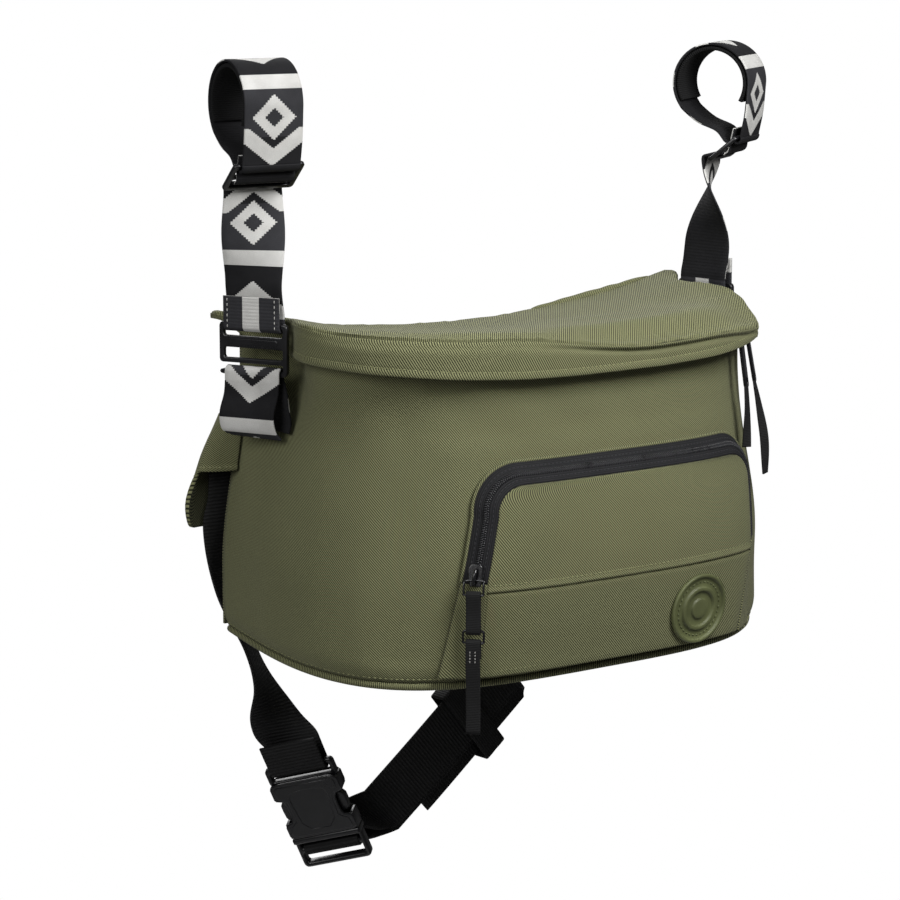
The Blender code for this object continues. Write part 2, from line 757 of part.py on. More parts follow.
GLIDE_CENTRE = (9.5, -41.0)     # outward from the loop's centre, height
GLIDE_TILT = math.radians(40.0)
GLIDE_BAR = 10.5                # spacing of the glide's bars
HOOK_TOP = -129.0
HOOK_LENGTH = 28.0              # between the hook's webbing bar and its open bar
HOOK_ANCHOR = HOOK_TOP - HOOK_LENGTH
ANCHOR_Y = 2.0
RING_RADIUS = LOOP_RADIUS + SEAT_GAP + LINING_THICK + SEAT_GAP + STRAP_THICK / 2 + 0.4


def glide_spot(along, off):
    """Point in the glide's own plane: along it and off its face, in (outward, height)."""
    q, z = GLIDE_CENTRE
    return (q + along * math.cos(GLIDE_TILT) - off * math.sin(GLIDE_TILT),
            z + along * math.sin(GLIDE_TILT) + off * math.cos(GLIDE_TILT))


def loop_profile():
    """Strap in (outward, height) from behind the glide's lower bar round the loop."""
    profile = [glide_spot(-GLIDE_BAR - 4.0, 4.6), glide_spot(-GLIDE_BAR, 3.1),
               glide_spot(-GLIDE_BAR / 2, 0.0), glide_spot(-2.0, -2.9), glide_spot(1.5, -2.9),
               glide_spot(GLIDE_BAR / 2 - 1.0, 0.2), glide_spot(3.4, 4.0)]
    profile += [(4.0, -29.5), (-8.0, -24.5)]
    profile += [(RING_RADIUS * math.cos(a), RING_RADIUS * math.sin(a))
                for a in spread(math.radians(225.0), math.radians(-8.0), 22)]
    upper = glide_spot(GLIDE_BAR, 0.0)
    profile.append((upper[0] + 5.6, upper[1] + 15.0))
    fold = [(upper[0] + 3.3 * math.cos(a), upper[1] + 3.3 * math.sin(a))
            for a in spread(math.radians(25.0), math.radians(-165.0), 8)]
    profile += fold
    profile.append((upper[0] - 1.7, upper[1] + 6.0))
    return profile


def make_strap(side, name, loop_reach, loop_turn, hook_reach, hook_turn, anchor_gap):
    """One strap set: webbing with its bar loop, lining, glide, hook and anchor loop.

    The loop and the hook hang at their reach past the side of the body's top edge.
    """
    across, out = facing(loop_turn)
    loop_centre = Vector((side * (TOP_HALF_WIDTH + loop_reach), 0.0, 0.0))

    def in_loop(q, z):
        return loop_centre + out * q + Vector((0, 0, z))

    hook_across, hook_out = facing(hook_turn)
    hook = Vector((side * (TOP_HALF_WIDTH + hook_reach), ANCHOR_Y, 0.0))

    def at_hook(q, z):
        return hook + hook_out * q + Vector((0, 0, z))

    bar = HOOK_TOP
    path = [(at_hook(FOLD_RADIUS, bar + 17.0), hook_across),
            (at_hook(FOLD_RADIUS, bar + 8.0), hook_across)]
    path += [(at_hook(FOLD_RADIUS * math.cos(a), bar + FOLD_RADIUS * math.sin(a)), hook_across)
             for a in spread(0.0, -math.pi, 7)]
    path.append((at_hook(-FOLD_RADIUS, bar + 6.0), hook_across))
    path.append((at_hook(-1.2, bar + 14.0), hook_across))
    path.append((at_hook(0.0, bar + 22.0), hook_across))
    profile = loop_profile()
    start = in_loop(*profile[0])
    low = at_hook(0.0, bar + 22.0)
    for share in spread(0.0, 1.0, 10)[1:-1]:
        turn = mix(hook_turn, loop_turn, ease(share))
        path.append((low.lerp(start, share), facing(turn)[0]))
    path += [(in_loop(q, z), across) for q, z in profile]
    ribbon("strap_web_" + name, path, STRAP_WIDTH, STRAP_THICK, WOVEN)

    lining = [(in_loop(radius * math.cos(a), radius * math.sin(a)), across)
              for radius in (LOOP_RADIUS + SEAT_GAP + LINING_THICK / 2,)
              for a in spread(math.radians(210.0), math.radians(-30.0), 24)]
    ribbon("loop_lining_" + name, lining, STRAP_WIDTH - 1.0, LINING_THICK, BLACK)

    glide_q, glide_z = GLIDE_CENTRE
    up = out * math.cos(GLIDE_TILT) + Vector((0, 0, math.sin(GLIDE_TILT)))
    placing = frame_at(in_loop(glide_q, glide_z), across, up)
    inner, outer = STRAP_WIDTH / 2 + 0.8, STRAP_WIDTH / 2 + 4.0
    lower, upper = -GLIDE_BAR - 1.5, GLIDE_BAR + 1.5
    blocks("tri_glide_" + name, [-outer, -inner, inner, outer], [-1.3, 1.3],
           [lower, lower + 3.0, -1.5, 1.5, upper - 3.0, upper],
           lambda x, y, z: abs(x) > inner or abs(z) < 1.5 or abs(z) > GLIDE_BAR - 1.5,
           BLACK, placing, 0.8)
    make_gate_hook("gate_hook_" + name, at_hook(0.0, 0.0), hook_across)
    make_anchor_loop("anchor_loop_" + name, side, anchor_gap, at_hook(0.0, HOOK_ANCHOR),
                     hook_across)


def make_gate_hook(name, centre, across):
    """Flat hook: webbing bar, middle bar and an open lower bar joined on one side only."""
    inner, outer = STRAP_WIDTH / 2 + 0.8, STRAP_WIDTH / 2 + 4.0
    thin_low, thin_high = HOOK_ANCHOR + 5.5, HOOK_ANCHOR + 8.5
    wide_low, wide_high = HOOK_TOP - 13.5, HOOK_TOP - 6.5
    heights = [HOOK_ANCHOR - 1.5, HOOK_ANCHOR + 1.5, thin_low, thin_high, wide_low, wide_high,
               HOOK_TOP - 1.5, HOOK_TOP + 1.5]
    widths = [-outer, -inner, inner, outer]

    def filled(x, y, z):
        if abs(z - HOOK_ANCHOR) < 1.5:
            return True
        if HOOK_ANCHOR + 1.5 < z < thin_low:
            return x > inner
        bar = abs(z - HOOK_TOP) < 1.5 or wide_low < z < wide_high or thin_low < z < thin_high
        return bar or abs(x) > inner

    blocks(name, widths, [-1.6, 1.6], heights, filled, BLACK,
           frame_at(centre, across, Vector((0, 0, 1))), 0.8)


def make_anchor_loop(name, side, gap, bar, bar_across):
    """Short webbing loop sewn to the side of the bag, round the hook's open bar."""
    wall_across = Vector((0.0, 1.0, 0.0))
    if bar_across.dot(wall_across) < 0.0:
        wall_across = wall_across * -1.0
    bar_out = Vector((0, 0, 1)).cross(bar_across)
    if bar_out.x * side < 0.0:
        bar_out = bar_out * -1.0

    def wall(z, reach):
        """Spot beside the bag, measured from its widest place behind the webbing."""
        widest = 0.0
        for y in spread(ANCHOR_Y - STRAP_WIDTH / 2, ANCHOR_Y + STRAP_WIDTH / 2, 5):
            share = (Y_BACK - y) / depth(z)
            x = half_width(z) * (1.0 - share ** BODY_POWER) ** (1.0 / BODY_POWER)
            widest = max(widest, pinched(x, y, z)[0])
        return Vector((side * (widest + reach), ANCHOR_Y, z))

    below = Vector((0.0, 0.0, -4.0))
    seat = STRAP_THICK / 2 + gap
    path = [(wall(bar.z - 35.0, seat), wall_across), (wall(bar.z - 29.0, seat + 0.4), wall_across),
            (wall(bar.z - 20.0, 4.5), wall_across), (bar - bar_out * FOLD_RADIUS + below, bar_across)]
    down = -math.pi
    for turn in spread(down, 0.0, 8):
        spot = bar + bar_out * (FOLD_RADIUS * math.cos(turn)) \
            - Vector((0, 0, FOLD_RADIUS * math.sin(turn)))
        path.append((spot, bar_across))
    keys = [(bar + bar_out * FOLD_RADIUS + below, bar_across), (wall(bar.z - 13.0, 20.5), bar_across),
            (wall(bar.z - 24.0, 21.5), bar_across), (wall(bar.z - 33.5, 17.5), bar_across),
            (wall(bar.z - 38.0, 10.5), bar_across.lerp(wall_across, 0.3))]
    path += curve_through(keys, 4)
    ribbon(name, path, STRAP_WIDTH - 1.0, STRAP_THICK, WOVEN)


# Waist belt

BUCKLE_TOP = Vector((-119.6, 40.0, -411.0))
BUCKLE_END = Vector((-88.9, 40.0, -479.4))
VIEW_SIDE = Vector((-0.78, -0.62, 0.0))
SOCKET_LENGTH = 51.0
BUCKLE_HALF = 23.0
TAIL_SLIP = 12.0        # how far the folded end slips out below the belt
TAIL_FOLD_X = 52.0
TAIL_END_X = -28.0
KEEPER_X = 16.0


def buckle_frame():
    """Local X across the buckle, local Z up its length, local Y towards its back."""
    up = (BUCKLE_TOP - BUCKLE_END).normalized()
    face = (VIEW_SIDE - up * VIEW_SIDE.dot(up)).normalized()
    across = up.cross(face)
    back = up.cross(across)
    return across, back, up


def make_buckle():
    across, back, up = buckle_frame()
    placing = frame_at(BUCKLE_TOP, across, up)
    half, wall = BUCKLE_HALF, 2.2
    prong_in, prong_out, head = 12.5, 16.5, 22.0
    mouth = -SOCKET_LENGTH

    def socket(x, y, z):
        if z > -3.5:
            return abs(y) < 2.2
        if z > -9.5:
            return abs(x) > half - 3.0 and abs(y) < 2.2
        if z > -13.0:
            return True
        if -40.0 < z < -22.0:
            return abs(x) < 17.2 and abs(y) > 3.8
        return abs(y) > 3.8 or abs(x) > half - wall

    blocks("buckle_socket", [-half, 3.0 - half, wall - half, -17.2, 17.2, half - wall, half - 3.0, half],
           [-5.6, -3.8, -2.2, 2.2, 3.8, 5.6],
           [mouth, -40.0, -22.0, -13.0, -9.5, -3.5, 0.0], socket, BLACK, placing, 0.7)
    base = mouth - SEAT_GAP

    def plug(x, y, z):
        if z > base:
            if abs(y) > 2.6:
                return False
            if abs(x) < 3.5:
                return True
            if prong_in < abs(x) < prong_out:
                return z < -23.5
            return prong_out < abs(x) < head and -38.5 < z < -25.5
        if z > base - 4.0:
            return True
        if z > base - 20.0:
            bar = base - 12.5 < z < base - 9.0
            return (abs(x) > half - 3.2 and abs(y) < 4.4) or (bar and abs(y) < 1.8)
        return abs(y) < 3.0

    blocks("buckle_plug", [-half, 3.2 - half, -head, -prong_out, -prong_in, -3.5, 3.5, prong_in,
                           prong_out, head, half - 3.2, half],
           [-5.6, -4.4, -3.0, -2.6, -1.8, 1.8, 2.6, 3.0, 4.4, 5.6],
           [base - 23.5, base - 20.0, base - 12.5, base - 9.0, base - 4.0, base, -38.5, -25.5,
            -23.5, -16.0],
           plug, BLACK, placing, 0.6)
    return base


def in_wing(side, inset, y, z):
    """Spot of the waist webbing inside a wing, measured inwards from the side of the body."""
    return Vector((side * (half_width(z) - inset), y, z))


def make_belt(base):
    across, back, up = buckle_frame()
    bar = BUCKLE_TOP - up * 1.75
    radius = 4.0

    def near_bar(reach, rise):
        return bar + back * reach + up * rise

    keys = [(in_wing(-1, 7.9, 47.6, -222.0), facing(0.0)[0]),
            (in_wing(-1, 9.8, 47.6, -238.0), facing(0.0)[0]),
            (in_wing(-1, 8.7, 48.4, -258.0), facing(math.radians(4.0))[0])]
    for x, y, z, turn in ((-154.0, 61.0, -300.0, 34.0), (-143.0, 58.0, -335.0, 52.0),
                          (-139.0, 49.0, -358.0, 44.0), (-131.0, 47.0, -382.0, 2.0)):
        keys.append((Vector((x, y, z)), facing(math.radians(turn))[0]))
    keys.append((near_bar(radius + 0.5, 14.0), across))
    path = curve_through(keys, 5)
    path += [(near_bar(radius * math.cos(a), radius * math.sin(a)), across)
             for a in spread(0.0, -math.pi, 9)]
    path += [(near_bar(-radius, 8.0), across), (near_bar(-radius, 19.0), across)]
    ribbon("belt_web_left", path, STRAP_WIDTH, BELT_THICK, BLACK)

    bar = BUCKLE_TOP + up * (base - 10.75)
    fold = 3.4
    centres = [in_wing(1, 7.9, 47.6, -222.0), in_wing(1, 9.8, 47.6, -238.0),
               in_wing(1, 10.7, 48.4, -258.0)]
    centres += [Vector(spot) for spot in (
        (146.0, 61.0, -297.0), (99.0, 61.0, -338.0), (57.0, 57.0, -372.0), (17.0, 53.0, -402.0),
        (-19.0, 52.0, -431.0), (-48.0, 55.0, -457.0))]
    keys = []
    for index, centre in enumerate(centres):
        run_to = centres[min(index + 1, len(centres) - 1)] - centres[max(index - 1, 0)]
        keys.append((centre, Vector((-run_to.z, 0.0, run_to.x)).normalized()))
    run = curve_through(keys, 5)
    edge_side = run[-1][1]
    into = [(bar + back * 21.0 + Vector((8.0, 0.0, 1.0)), edge_side.lerp(across, 0.45)),
            (bar + back * 12.0 + up * 3.0, edge_side.lerp(across, 0.85)),
            (bar + back * 6.0 + up * fold, across)]
    wrap = [(bar + back * (-fold * math.sin(a)) + up * (fold * math.cos(a)), across)
            for a in spread(0.0, math.pi, 9)]
    away = [(bar + back * 6.0 - up * (fold + 0.6), across),
            (bar + back * 13.0 - up * 6.0, edge_side.lerp(across, 0.8)),
            (bar + back * 24.0 - up * 5.0 + Vector((8.0, 0.0, 0.0)), edge_side.lerp(across, 0.4))]
    outward = Vector((0.0, 1.0, 0.0))
    tail_side = outward * 3.4 + edge_side * 5.0
    shelf = [row for row in run if -50.0 < row[0].x < TAIL_FOLD_X]
    tail = [(centre + tail_side, side) for centre, side in reversed(shelf)]
    end, end_side = tail[-1]
    along = (tail[-1][0] - tail[-2][0]).normalized()
    slip = edge_side * TAIL_SLIP
    bend = [(end + along * (3.0 * math.sin(a)) + outward * (3.0 - 3.0 * math.cos(a))
             + slip * (a / math.pi), end_side) for a in spread(0.0, math.pi, 7)[1:]]
    home = [(centre + outward * 6.0 + slip, side) for centre, side in reversed(tail)
            if centre.x > TAIL_END_X]
    path = run + into + wrap + away + tail + bend + home[1:]
    ribbon("belt_web_right", path, STRAP_WIDTH, BELT_THICK, BLACK)
    return run, tail_side + outward * 6.0 + slip, outward


def make_keeper(run, packed_side, outward):
    """Elastic loop round the belt and its folded end, which lies at packed_side from it."""
    spot = min(run, key=lambda row: abs(row[0].x - KEEPER_X))
    index = run.index(spot)
    along = (run[index + 1][0] - run[index - 1][0]).normalized()
    across = (spot[1] - along * spot[1].dot(along)).normalized()
    depth_dir = along.cross(across)
    if depth_dir.dot(outward) < 0.0:
        depth_dir = depth_dir * -1.0
    reach = packed_side.dot(depth_dir)
    slip = packed_side.dot(across)
    low = -STRAP_WIDTH / 2 - 0.9 + min(0.0, slip)
    high = STRAP_WIDTH / 2 + 0.9 + max(0.0, slip)
    near, far = -BELT_THICK / 2 - 0.8, reach + BELT_THICK / 2 + 0.8
    rings = []
    for end in (-9.0, 9.0):
        for grow in ((0.0, 1.4) if end < 0.0 else (1.4, 0.0)):
            ring = []
            for a, b in ((low - grow, near - grow), (high + grow, near - grow),
                         (high + grow, far + grow), (low - grow, far + grow)):
                ring.append(spot[0] + across * a + depth_dir * b + along * end)
            rings.append(ring)
    ring_solid("belt_keeper", rings, BLACK, looped=True)


def main():
    for old in list(bpy.data.objects):
        bpy.data.objects.remove(old, do_unlink=True)
    make_front_panel()
    make_back_panel()
    make_bottom_panel()
    make_lid_panel()
    make_main_zip()
    make_main_pull("front", 0.70, 5.0, [(16.0, 1.0, 0.2), (38.0, 1.0, 0.9)])
    make_main_pull("back", 0.745, 6.0, [(14.0, 3.0, 0.4), (36.0, 7.0, 1.0), (58.0, 8.0, 0.4)])
    make_pocket_zip()
    make_pocket_gusset("pocket_gusset_left", -1)
    make_pocket_gusset("pocket_gusset_right", 1)
    pocket_high = POCKET_TOP - POCKET_INSET - SEAT_GAP
    make_pocket_panel("pocket_panel_upper", POCKET_SEAM + SEAT_GAP, pocket_high, 12)
    make_pocket_panel("pocket_panel_lower", POCKET_LOW, POCKET_SEAM, 8)
    make_badge()
    make_pocket_pull()
    make_wing("wing_left", -1)
    make_wing("wing_right", 1)
    make_strap(-1, "left", 11.0, math.radians(-6.0), 12.5, math.radians(-60.0), -0.2)
    make_strap(1, "right", 20.0, math.radians(32.0), 13.0, math.radians(100.0), 0.5)
    base = make_buckle()
    run, packed_side, outward = make_belt(base)
    make_keeper(run, packed_side, outward)


main()
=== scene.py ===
# %% [markdown]
# # A hanging organizer bag
# This file dresses a finished model of a cloth organizer. The model is a set of plain solids, loaded
# as a fixed frame, and every piece made here sits where its solid sits. The cloth, webbing, zips and
# plastic fittings are built one after another, and the light and the camera come last.

# %% Load the fixed frame
import math

import bpy
from mathutils import Matrix, Vector, noise


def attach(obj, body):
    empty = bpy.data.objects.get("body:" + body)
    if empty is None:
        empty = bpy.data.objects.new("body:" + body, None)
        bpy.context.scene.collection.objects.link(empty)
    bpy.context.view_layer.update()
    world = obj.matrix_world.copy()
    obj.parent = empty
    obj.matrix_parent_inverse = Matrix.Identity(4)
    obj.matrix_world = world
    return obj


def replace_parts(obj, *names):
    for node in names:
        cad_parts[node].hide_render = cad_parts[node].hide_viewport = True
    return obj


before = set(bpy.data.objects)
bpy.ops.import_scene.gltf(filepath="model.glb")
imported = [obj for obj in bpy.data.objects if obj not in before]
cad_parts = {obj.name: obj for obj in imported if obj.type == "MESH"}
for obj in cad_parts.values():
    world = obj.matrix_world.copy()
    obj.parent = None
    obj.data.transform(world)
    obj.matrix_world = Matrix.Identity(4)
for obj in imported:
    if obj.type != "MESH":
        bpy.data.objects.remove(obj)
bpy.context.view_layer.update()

MM = 0.001
print("nodes in the frame:", len(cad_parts))

# %% [markdown]
# ## Small tools for numbers
# Soft things have no sharp steps, so most shapes below fade from one value to another. `ease` is the
# smooth step that does the fading, `spread` gives evenly spaced values, and `curve_through` draws a
# smooth path through a few chosen points, as a bent spline would on a drawing board.

# %% Fading, spacing and smooth paths
def ease(value):
    """Smooth step from 0 to 1."""
    value = min(1.0, max(0.0, value))
    return value * value * (3.0 - 2.0 * value)


def mix(start, end, share):
    return start + (end - start) * share


def spread(start, end, count):
    """Evenly spaced values, both ends included."""
    return [mix(start, end, index / (count - 1)) for index in range(count)]


def bump(value, centre, reach):
    """A soft hill of height 1."""
    return math.exp(-((value - centre) / reach) ** 2)


def curve_through(keys, steps):
    """Smooth path through key tuples of vectors or numbers."""
    path = []
    last = len(keys) - 1
    for index in range(last):
        before, start = keys[max(index - 1, 0)], keys[index]
        end, after = keys[index + 1], keys[min(index + 2, last)]
        for step in range(steps):
            t = step / steps
            row = []
            for a, b, c, d in zip(before, start, end, after):
                bend = (2 * a - 5 * b + 4 * c - d) * t * t + (3 * b - a - 3 * c + d) * t ** 3
                row.append((2 * b + (c - a) * t + bend) * 0.5)
            path.append(tuple(row))
    path.append(tuple(keys[last]))
    return path


def smooth_line(points, steps):
    """Smooth path through single points."""
    return [point for (point,) in curve_through([(point,) for point in points], steps)]


def ripple(x, y, z, size, seed):
    """Slow wander between -1 and 1, the same on every run."""
    return noise.noise(Vector((x / size + seed * 17.3, y / size - seed * 5.1, z / size + seed * 3.7)))


print("tools ready")

# %% [markdown]
# ## Shader maths as expressions
# A weave is a sum of waves, so its shader needs a lot of arithmetic. Linking Math nodes by hand hides
# the formula. Here one small class wraps a socket and lets Python's own operators add the Math nodes,
# so that a twill can be written as the formula that it is.

# %% A socket that knows arithmetic
class Signal:
    """One socket of a shader tree; arithmetic on it adds Math nodes."""

    def __init__(self, finish, socket):
        self.finish = finish
        self.socket = socket

    def maths(self, operation, other=None):
        parts = {0: self}
        if other is not None:
            parts[1] = other
        return self.finish.node("ShaderNodeMath", {"operation": operation}, parts)["Value"]

    def __add__(self, other):
        return self.maths("ADD", other)

    __radd__ = __add__

    def __mul__(self, other):
        return self.maths("MULTIPLY", other)

    __rmul__ = __mul__

    def __sub__(self, other):
        return self.maths("SUBTRACT", other)

    def __rsub__(self, other):
        return (self * -1.0) + other

    def __truediv__(self, other):
        return self.maths("DIVIDE", other)

    def __rtruediv__(self, other):
        return self.maths("POWER", -1.0) * other

    def __gt__(self, other):
        return self.maths("GREATER_THAN", other)

    def __lt__(self, other):
        return self.maths("LESS_THAN", other)

    def wave(self):
        """Sine, moved to lie between 0 and 1."""
        return self.maths("SINE") * 0.5 + 0.5

    def saw(self, period):
        """Rises from 0 to 1 over each period."""
        return (self / period).maths("FRACT")

    def size(self):
        return self.maths("ABSOLUTE")

    def power(self, exponent):
        return self.maths("POWER", exponent)

    def most(self, other):
        return self.maths("MAXIMUM", other)

    def fade(self, low, high):
        """Smooth step from 0 at low to 1 at high."""
        return self.finish.node("ShaderNodeMapRange", {"interpolation_type": "SMOOTHSTEP"},
                                {"Value": self, "From Min": low, "From Max": high})["Result"]


class Finish:
    """A material with helpers that add nodes to it."""

    def __init__(self, name, roughness=0.8, **constants):
        self.material = bpy.data.materials.new(name)
        self.material.use_nodes = True
        self.tree = self.material.node_tree
        self.shader = self.tree.nodes["Principled BSDF"]
        self.shader.inputs["Roughness"].default_value = roughness
        for socket, value in constants.items():
            self.shader.inputs[socket.replace("_", " ")].default_value = value

    def node(self, kind, settings=None, inputs=None):
        """Add a node, set it up, then fill its sockets; returns its outputs by name."""
        made = self.tree.nodes.new(kind)
        for name, value in (settings or {}).items():
            setattr(made, name, value)
        for socket, value in (inputs or {}).items():
            if isinstance(value, Signal):
                self.tree.links.new(value.socket, made.inputs[socket])
            else:
                made.inputs[socket].default_value = value
        return {output.name: Signal(self, output) for output in made.outputs if output.enabled}

    def feed(self, socket, value):
        self.tree.links.new(value.socket, self.shader.inputs[socket])

    def cloth_map(self):
        """Across and along the cloth in millimetres, as unwrapped when the piece was made."""
        spot = self.node("ShaderNodeUVMap", {"uv_map": "cloth"})["UV"]
        parts = self.node("ShaderNodeSeparateXYZ", {}, {0: spot})
        return parts["X"], parts["Y"], spot

    def place(self):
        """Place in the object, in metres."""
        return self.node("ShaderNodeTexCoord")["Object"]

    def clouds(self, where, scale, detail=3.0):
        """Soft noise around 0.5."""
        inputs = {"Vector": where, "Scale": scale, "Detail": detail}
        return self.node("ShaderNodeTexNoise", {}, inputs)["Fac"]

    def blend(self, share, start, end):
        """Colour between two colours."""
        made = self.tree.nodes.new("ShaderNodeMix")
        made.data_type = "RGBA"
        if isinstance(share, Signal):
            self.tree.links.new(share.socket, made.inputs[0])
        else:
            made.inputs[0].default_value = share
        for index, value in ((6, start), (7, end)):
            if isinstance(value, Signal):
                self.tree.links.new(value.socket, made.inputs[index])
            else:
                made.inputs[index].default_value = (*value, 1.0)
        return Signal(self, made.outputs[2])

    def relief(self, height, depth):
        """Turn a height between 0 and 1 into a bump of that depth in metres."""
        made = self.node("ShaderNodeBump", {}, {"Strength": 1.0, "Distance": depth, "Height": height})
        self.feed("Normal", made["Normal"])


print("shader expressions ready")

# %% [markdown]
# ## Making meshes with a cloth map
# Cloth, webbing and tape all need to know which way their threads run. A texture placed by the
# object's axes would smear on every curved wall, so each piece is unwrapped as it is made: the map
# called `cloth` holds millimetres across and along the real material.

# %% Mesh and sheet builders
def make_piece(name, points, faces, finishes, body="bag", map_of=None, slots=None):
    """One object from millimetre points. map_of gives each face's corners their cloth map."""
    mesh = bpy.data.meshes.new(name)
    mesh.from_pydata([Vector(point) * MM for point in points], [], faces)
    for finish in finishes:
        mesh.materials.append(finish.material)
    if map_of is not None:
        layer = mesh.uv_layers.new(name="cloth")
        for face, corners in zip(mesh.polygons, map_of):
            for loop, spot in zip(face.loop_indices, corners):
                layer.data[loop].uv = spot
    if slots is not None:
        for face, slot in zip(mesh.polygons, slots):
            face.material_index = slot
    mesh.shade_smooth()
    made = bpy.data.objects.new(name, mesh)
    bpy.context.scene.collection.objects.link(made)
    turn_outwards(made)
    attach(made, body)
    return made


def turn_outwards(made):
    """Flip a closed mesh that was built inside out."""
    mesh = made.data
    mesh.calc_loop_triangles()
    volume = 0.0
    for triangle in mesh.loop_triangles:
        a, b, c = [mesh.vertices[index].co for index in triangle.vertices]
        volume += a.dot(b.cross(c))
    if volume < 0.0:
        mesh.flip_normals()


def running(points):
    """Distance along a row of points."""
    total = [0.0]
    for before, after in zip(points, points[1:]):
        total.append(total[-1] + (Vector(after) - Vector(before)).length)
    return total


def cloth_sheet(name, point_at, us, vs, low, high, finishes, looped=False, turned=False):
    """Thick sheet between point_at(u, v, low) and point_at(u, v, high), mapped in millimetres."""
    rows, columns = len(vs), len(us)
    outer = [[Vector(point_at(u, v, high)) for u in us] for v in vs]
    inner = [[Vector(point_at(u, v, low)) for u in us] for v in vs]
    across = running(outer[rows // 2] + (outer[rows // 2][:1] if looped else []))
    along = running([row[columns // 2] for row in outer])
    points = [point for row in outer for point in row] + [point for row in inner for point in row]
    half = rows * columns
    faces, corners, slots = [], [], []

    def spot(row, column):
        pair = (across[column], along[row])
        return (pair[1], pair[0]) if turned else pair

    last = columns if looped else columns - 1
    for row in range(rows - 1):
        for column in range(last):
            right = (column + 1) % columns
            a, b = row * columns + column, row * columns + right
            c, d = b + columns, a + columns
            square = [spot(row, column), spot(row, column + 1), spot(row + 1, column + 1),
                      spot(row + 1, column)]
            faces.append((a, b, c, d))
            corners.append(square)
            slots.append(0)
            faces.append((half + d, half + c, half + b, half + a))
            corners.append(square[::-1])
            slots.append(len(finishes) - 1)

    def edge(a, b, ra, ca, rb, cb):
        faces.append((a, b, half + b, half + a))
        corners.append([spot(ra, ca), spot(rb, cb), spot(rb, cb), spot(ra, ca)])
        slots.append(0)

    for column in range(last):
        right = (column + 1) % columns
        edge(right, column, 0, column + 1, 0, column)
        base = (rows - 1) * columns
        edge(base + column, base + right, rows - 1, column, rows - 1, column + 1)
    if not looped:
        for row in range(rows - 1):
            a, b = row * columns, (row + 1) * columns
            edge(a, b, row, 0, row + 1, 0)
            edge(b + columns - 1, a + columns - 1, row + 1, last, row, last)
    return make_piece(name, points, faces, finishes, "bag", corners, slots)


def skin(name, rings, finishes, body="bag", looped=False):
    """Surface over rings of points with equal counts, its ends capped unless it is looped."""
    count = len(rings[0])
    points = [point for ring in rings for point in ring]
    around = running(list(rings[len(rings) // 2]) + [rings[len(rings) // 2][0]])
    down = running([ring[0] for ring in rings] + ([rings[0][0]] if looped else []))
    faces, corners = [], []
    steps = len(rings) if looped else len(rings) - 1
    for step in range(steps):
        base, after = step * count, ((step + 1) % len(rings)) * count
        for index in range(count):
            right = (index + 1) % count
            faces.append((base + index, base + right, after + right, after + index))
            corners.append([(around[index], down[step]), (around[index + 1], down[step]),
                            (around[index + 1], down[step + 1]), (around[index], down[step + 1])])
    if not looped:
        for ring_index, order in ((0, -1), (len(rings) - 1, 1)):
            face = [ring_index * count + index for index in range(count)][::order]
            faces.append(tuple(face))
            corners.append([(around[index % count], down[ring_index]) for index in face])
    return make_piece(name, points, faces, finishes, body, corners)


def rod(name, path, radius, finishes, body="bag", closed=False, sides=10):
    """Round wire, cord or piping along a path; radius may vary along it."""
    rings = []
    count = len(path)
    lean = Vector((0.31, 0.87, 0.39))
    for index, centre in enumerate(path):
        before = path[(index - 1) % count] if closed else path[max(index - 1, 0)]
        after = path[(index + 1) % count] if closed else path[min(index + 1, count - 1)]
        way = (Vector(after) - Vector(before)).normalized()
        out = (lean - way * lean.dot(way)).normalized()
        up = way.cross(out)
        size = radius(index / (count - 1)) if callable(radius) else radius
        rings.append([Vector(centre) + (out * math.cos(turn) + up * math.sin(turn)) * size
                      for turn in spread(0.0, math.tau, sides + 1)[:-1]])
        lean = out
    return skin(name, rings, finishes, body, looped=closed)


BACK_MAP = 50.0
ROLL, ROLL_HEIGHT = 0.35, 0.75


def webbing(name, path, width, thick, finishes, body="bag", face_from=None, edge=0.5):
    """Flat woven tape along (centre, width direction) pairs, with rounded selvedges.

    The cloth map runs from 0 to width on the face and from BACK_MAP on the back. From the step
    face_from on, the two sides change places.
    """
    half, thin = width / 2, thick / 2
    rolled, roll_high = half - edge * ROLL, thin * ROLL_HEIGHT
    profile = [(-half, 0.0), (-rolled, -roll_high), (edge - half, -thin)]
    profile += [(x, -thin) for x in spread(-half, half, 10)[1:-1]]
    profile += [(half - edge, -thin), (rolled, -roll_high), (half, 0.0)]
    profile += [(rolled, roll_high), (half - edge, thin)]
    profile += [(x, thin) for x in spread(half, -half, 10)[1:-1]]
    profile += [(edge - half, thin), (-rolled, roll_high)]
    points, faces, corners = [], [], []
    centres = [Vector(centre) for centre, _ in path]
    down = running(centres)
    count = len(profile)
    for index, (centre, across) in enumerate(path):
        way = (centres[min(index + 1, len(path) - 1)] - centres[max(index - 1, 0)]).normalized()
        side = Vector(across).normalized()
        face = way.cross(side).normalized()
        points += [Vector(centre) + side * x - face * y for x, y in profile]

    for step in range(len(path) - 1):
        turned = face_from is not None and step >= face_from
        for index in range(count):
            right = (index + 1) % count
            a, b = step * count + index, step * count + right
            faces.append((a, b, b + count, a + count))
            front = (profile[index][1] > 0.0 or profile[right][1] > 0.0) != turned
            shift = 0.0 if front else BACK_MAP
            u, v = profile[index][0] + half + shift, profile[right][0] + half + shift
            corners.append([(u, down[step]), (v, down[step]), (v, down[step + 1]), (u, down[step + 1])])
    for step, order in ((0, -1), (len(path) - 1, 1)):
        face = [step * count + index for index in range(count)][::order]
        faces.append(tuple(face))
        corners.append([(half, down[step])] * count)
    return make_piece(name, points, faces, finishes, body, corners)


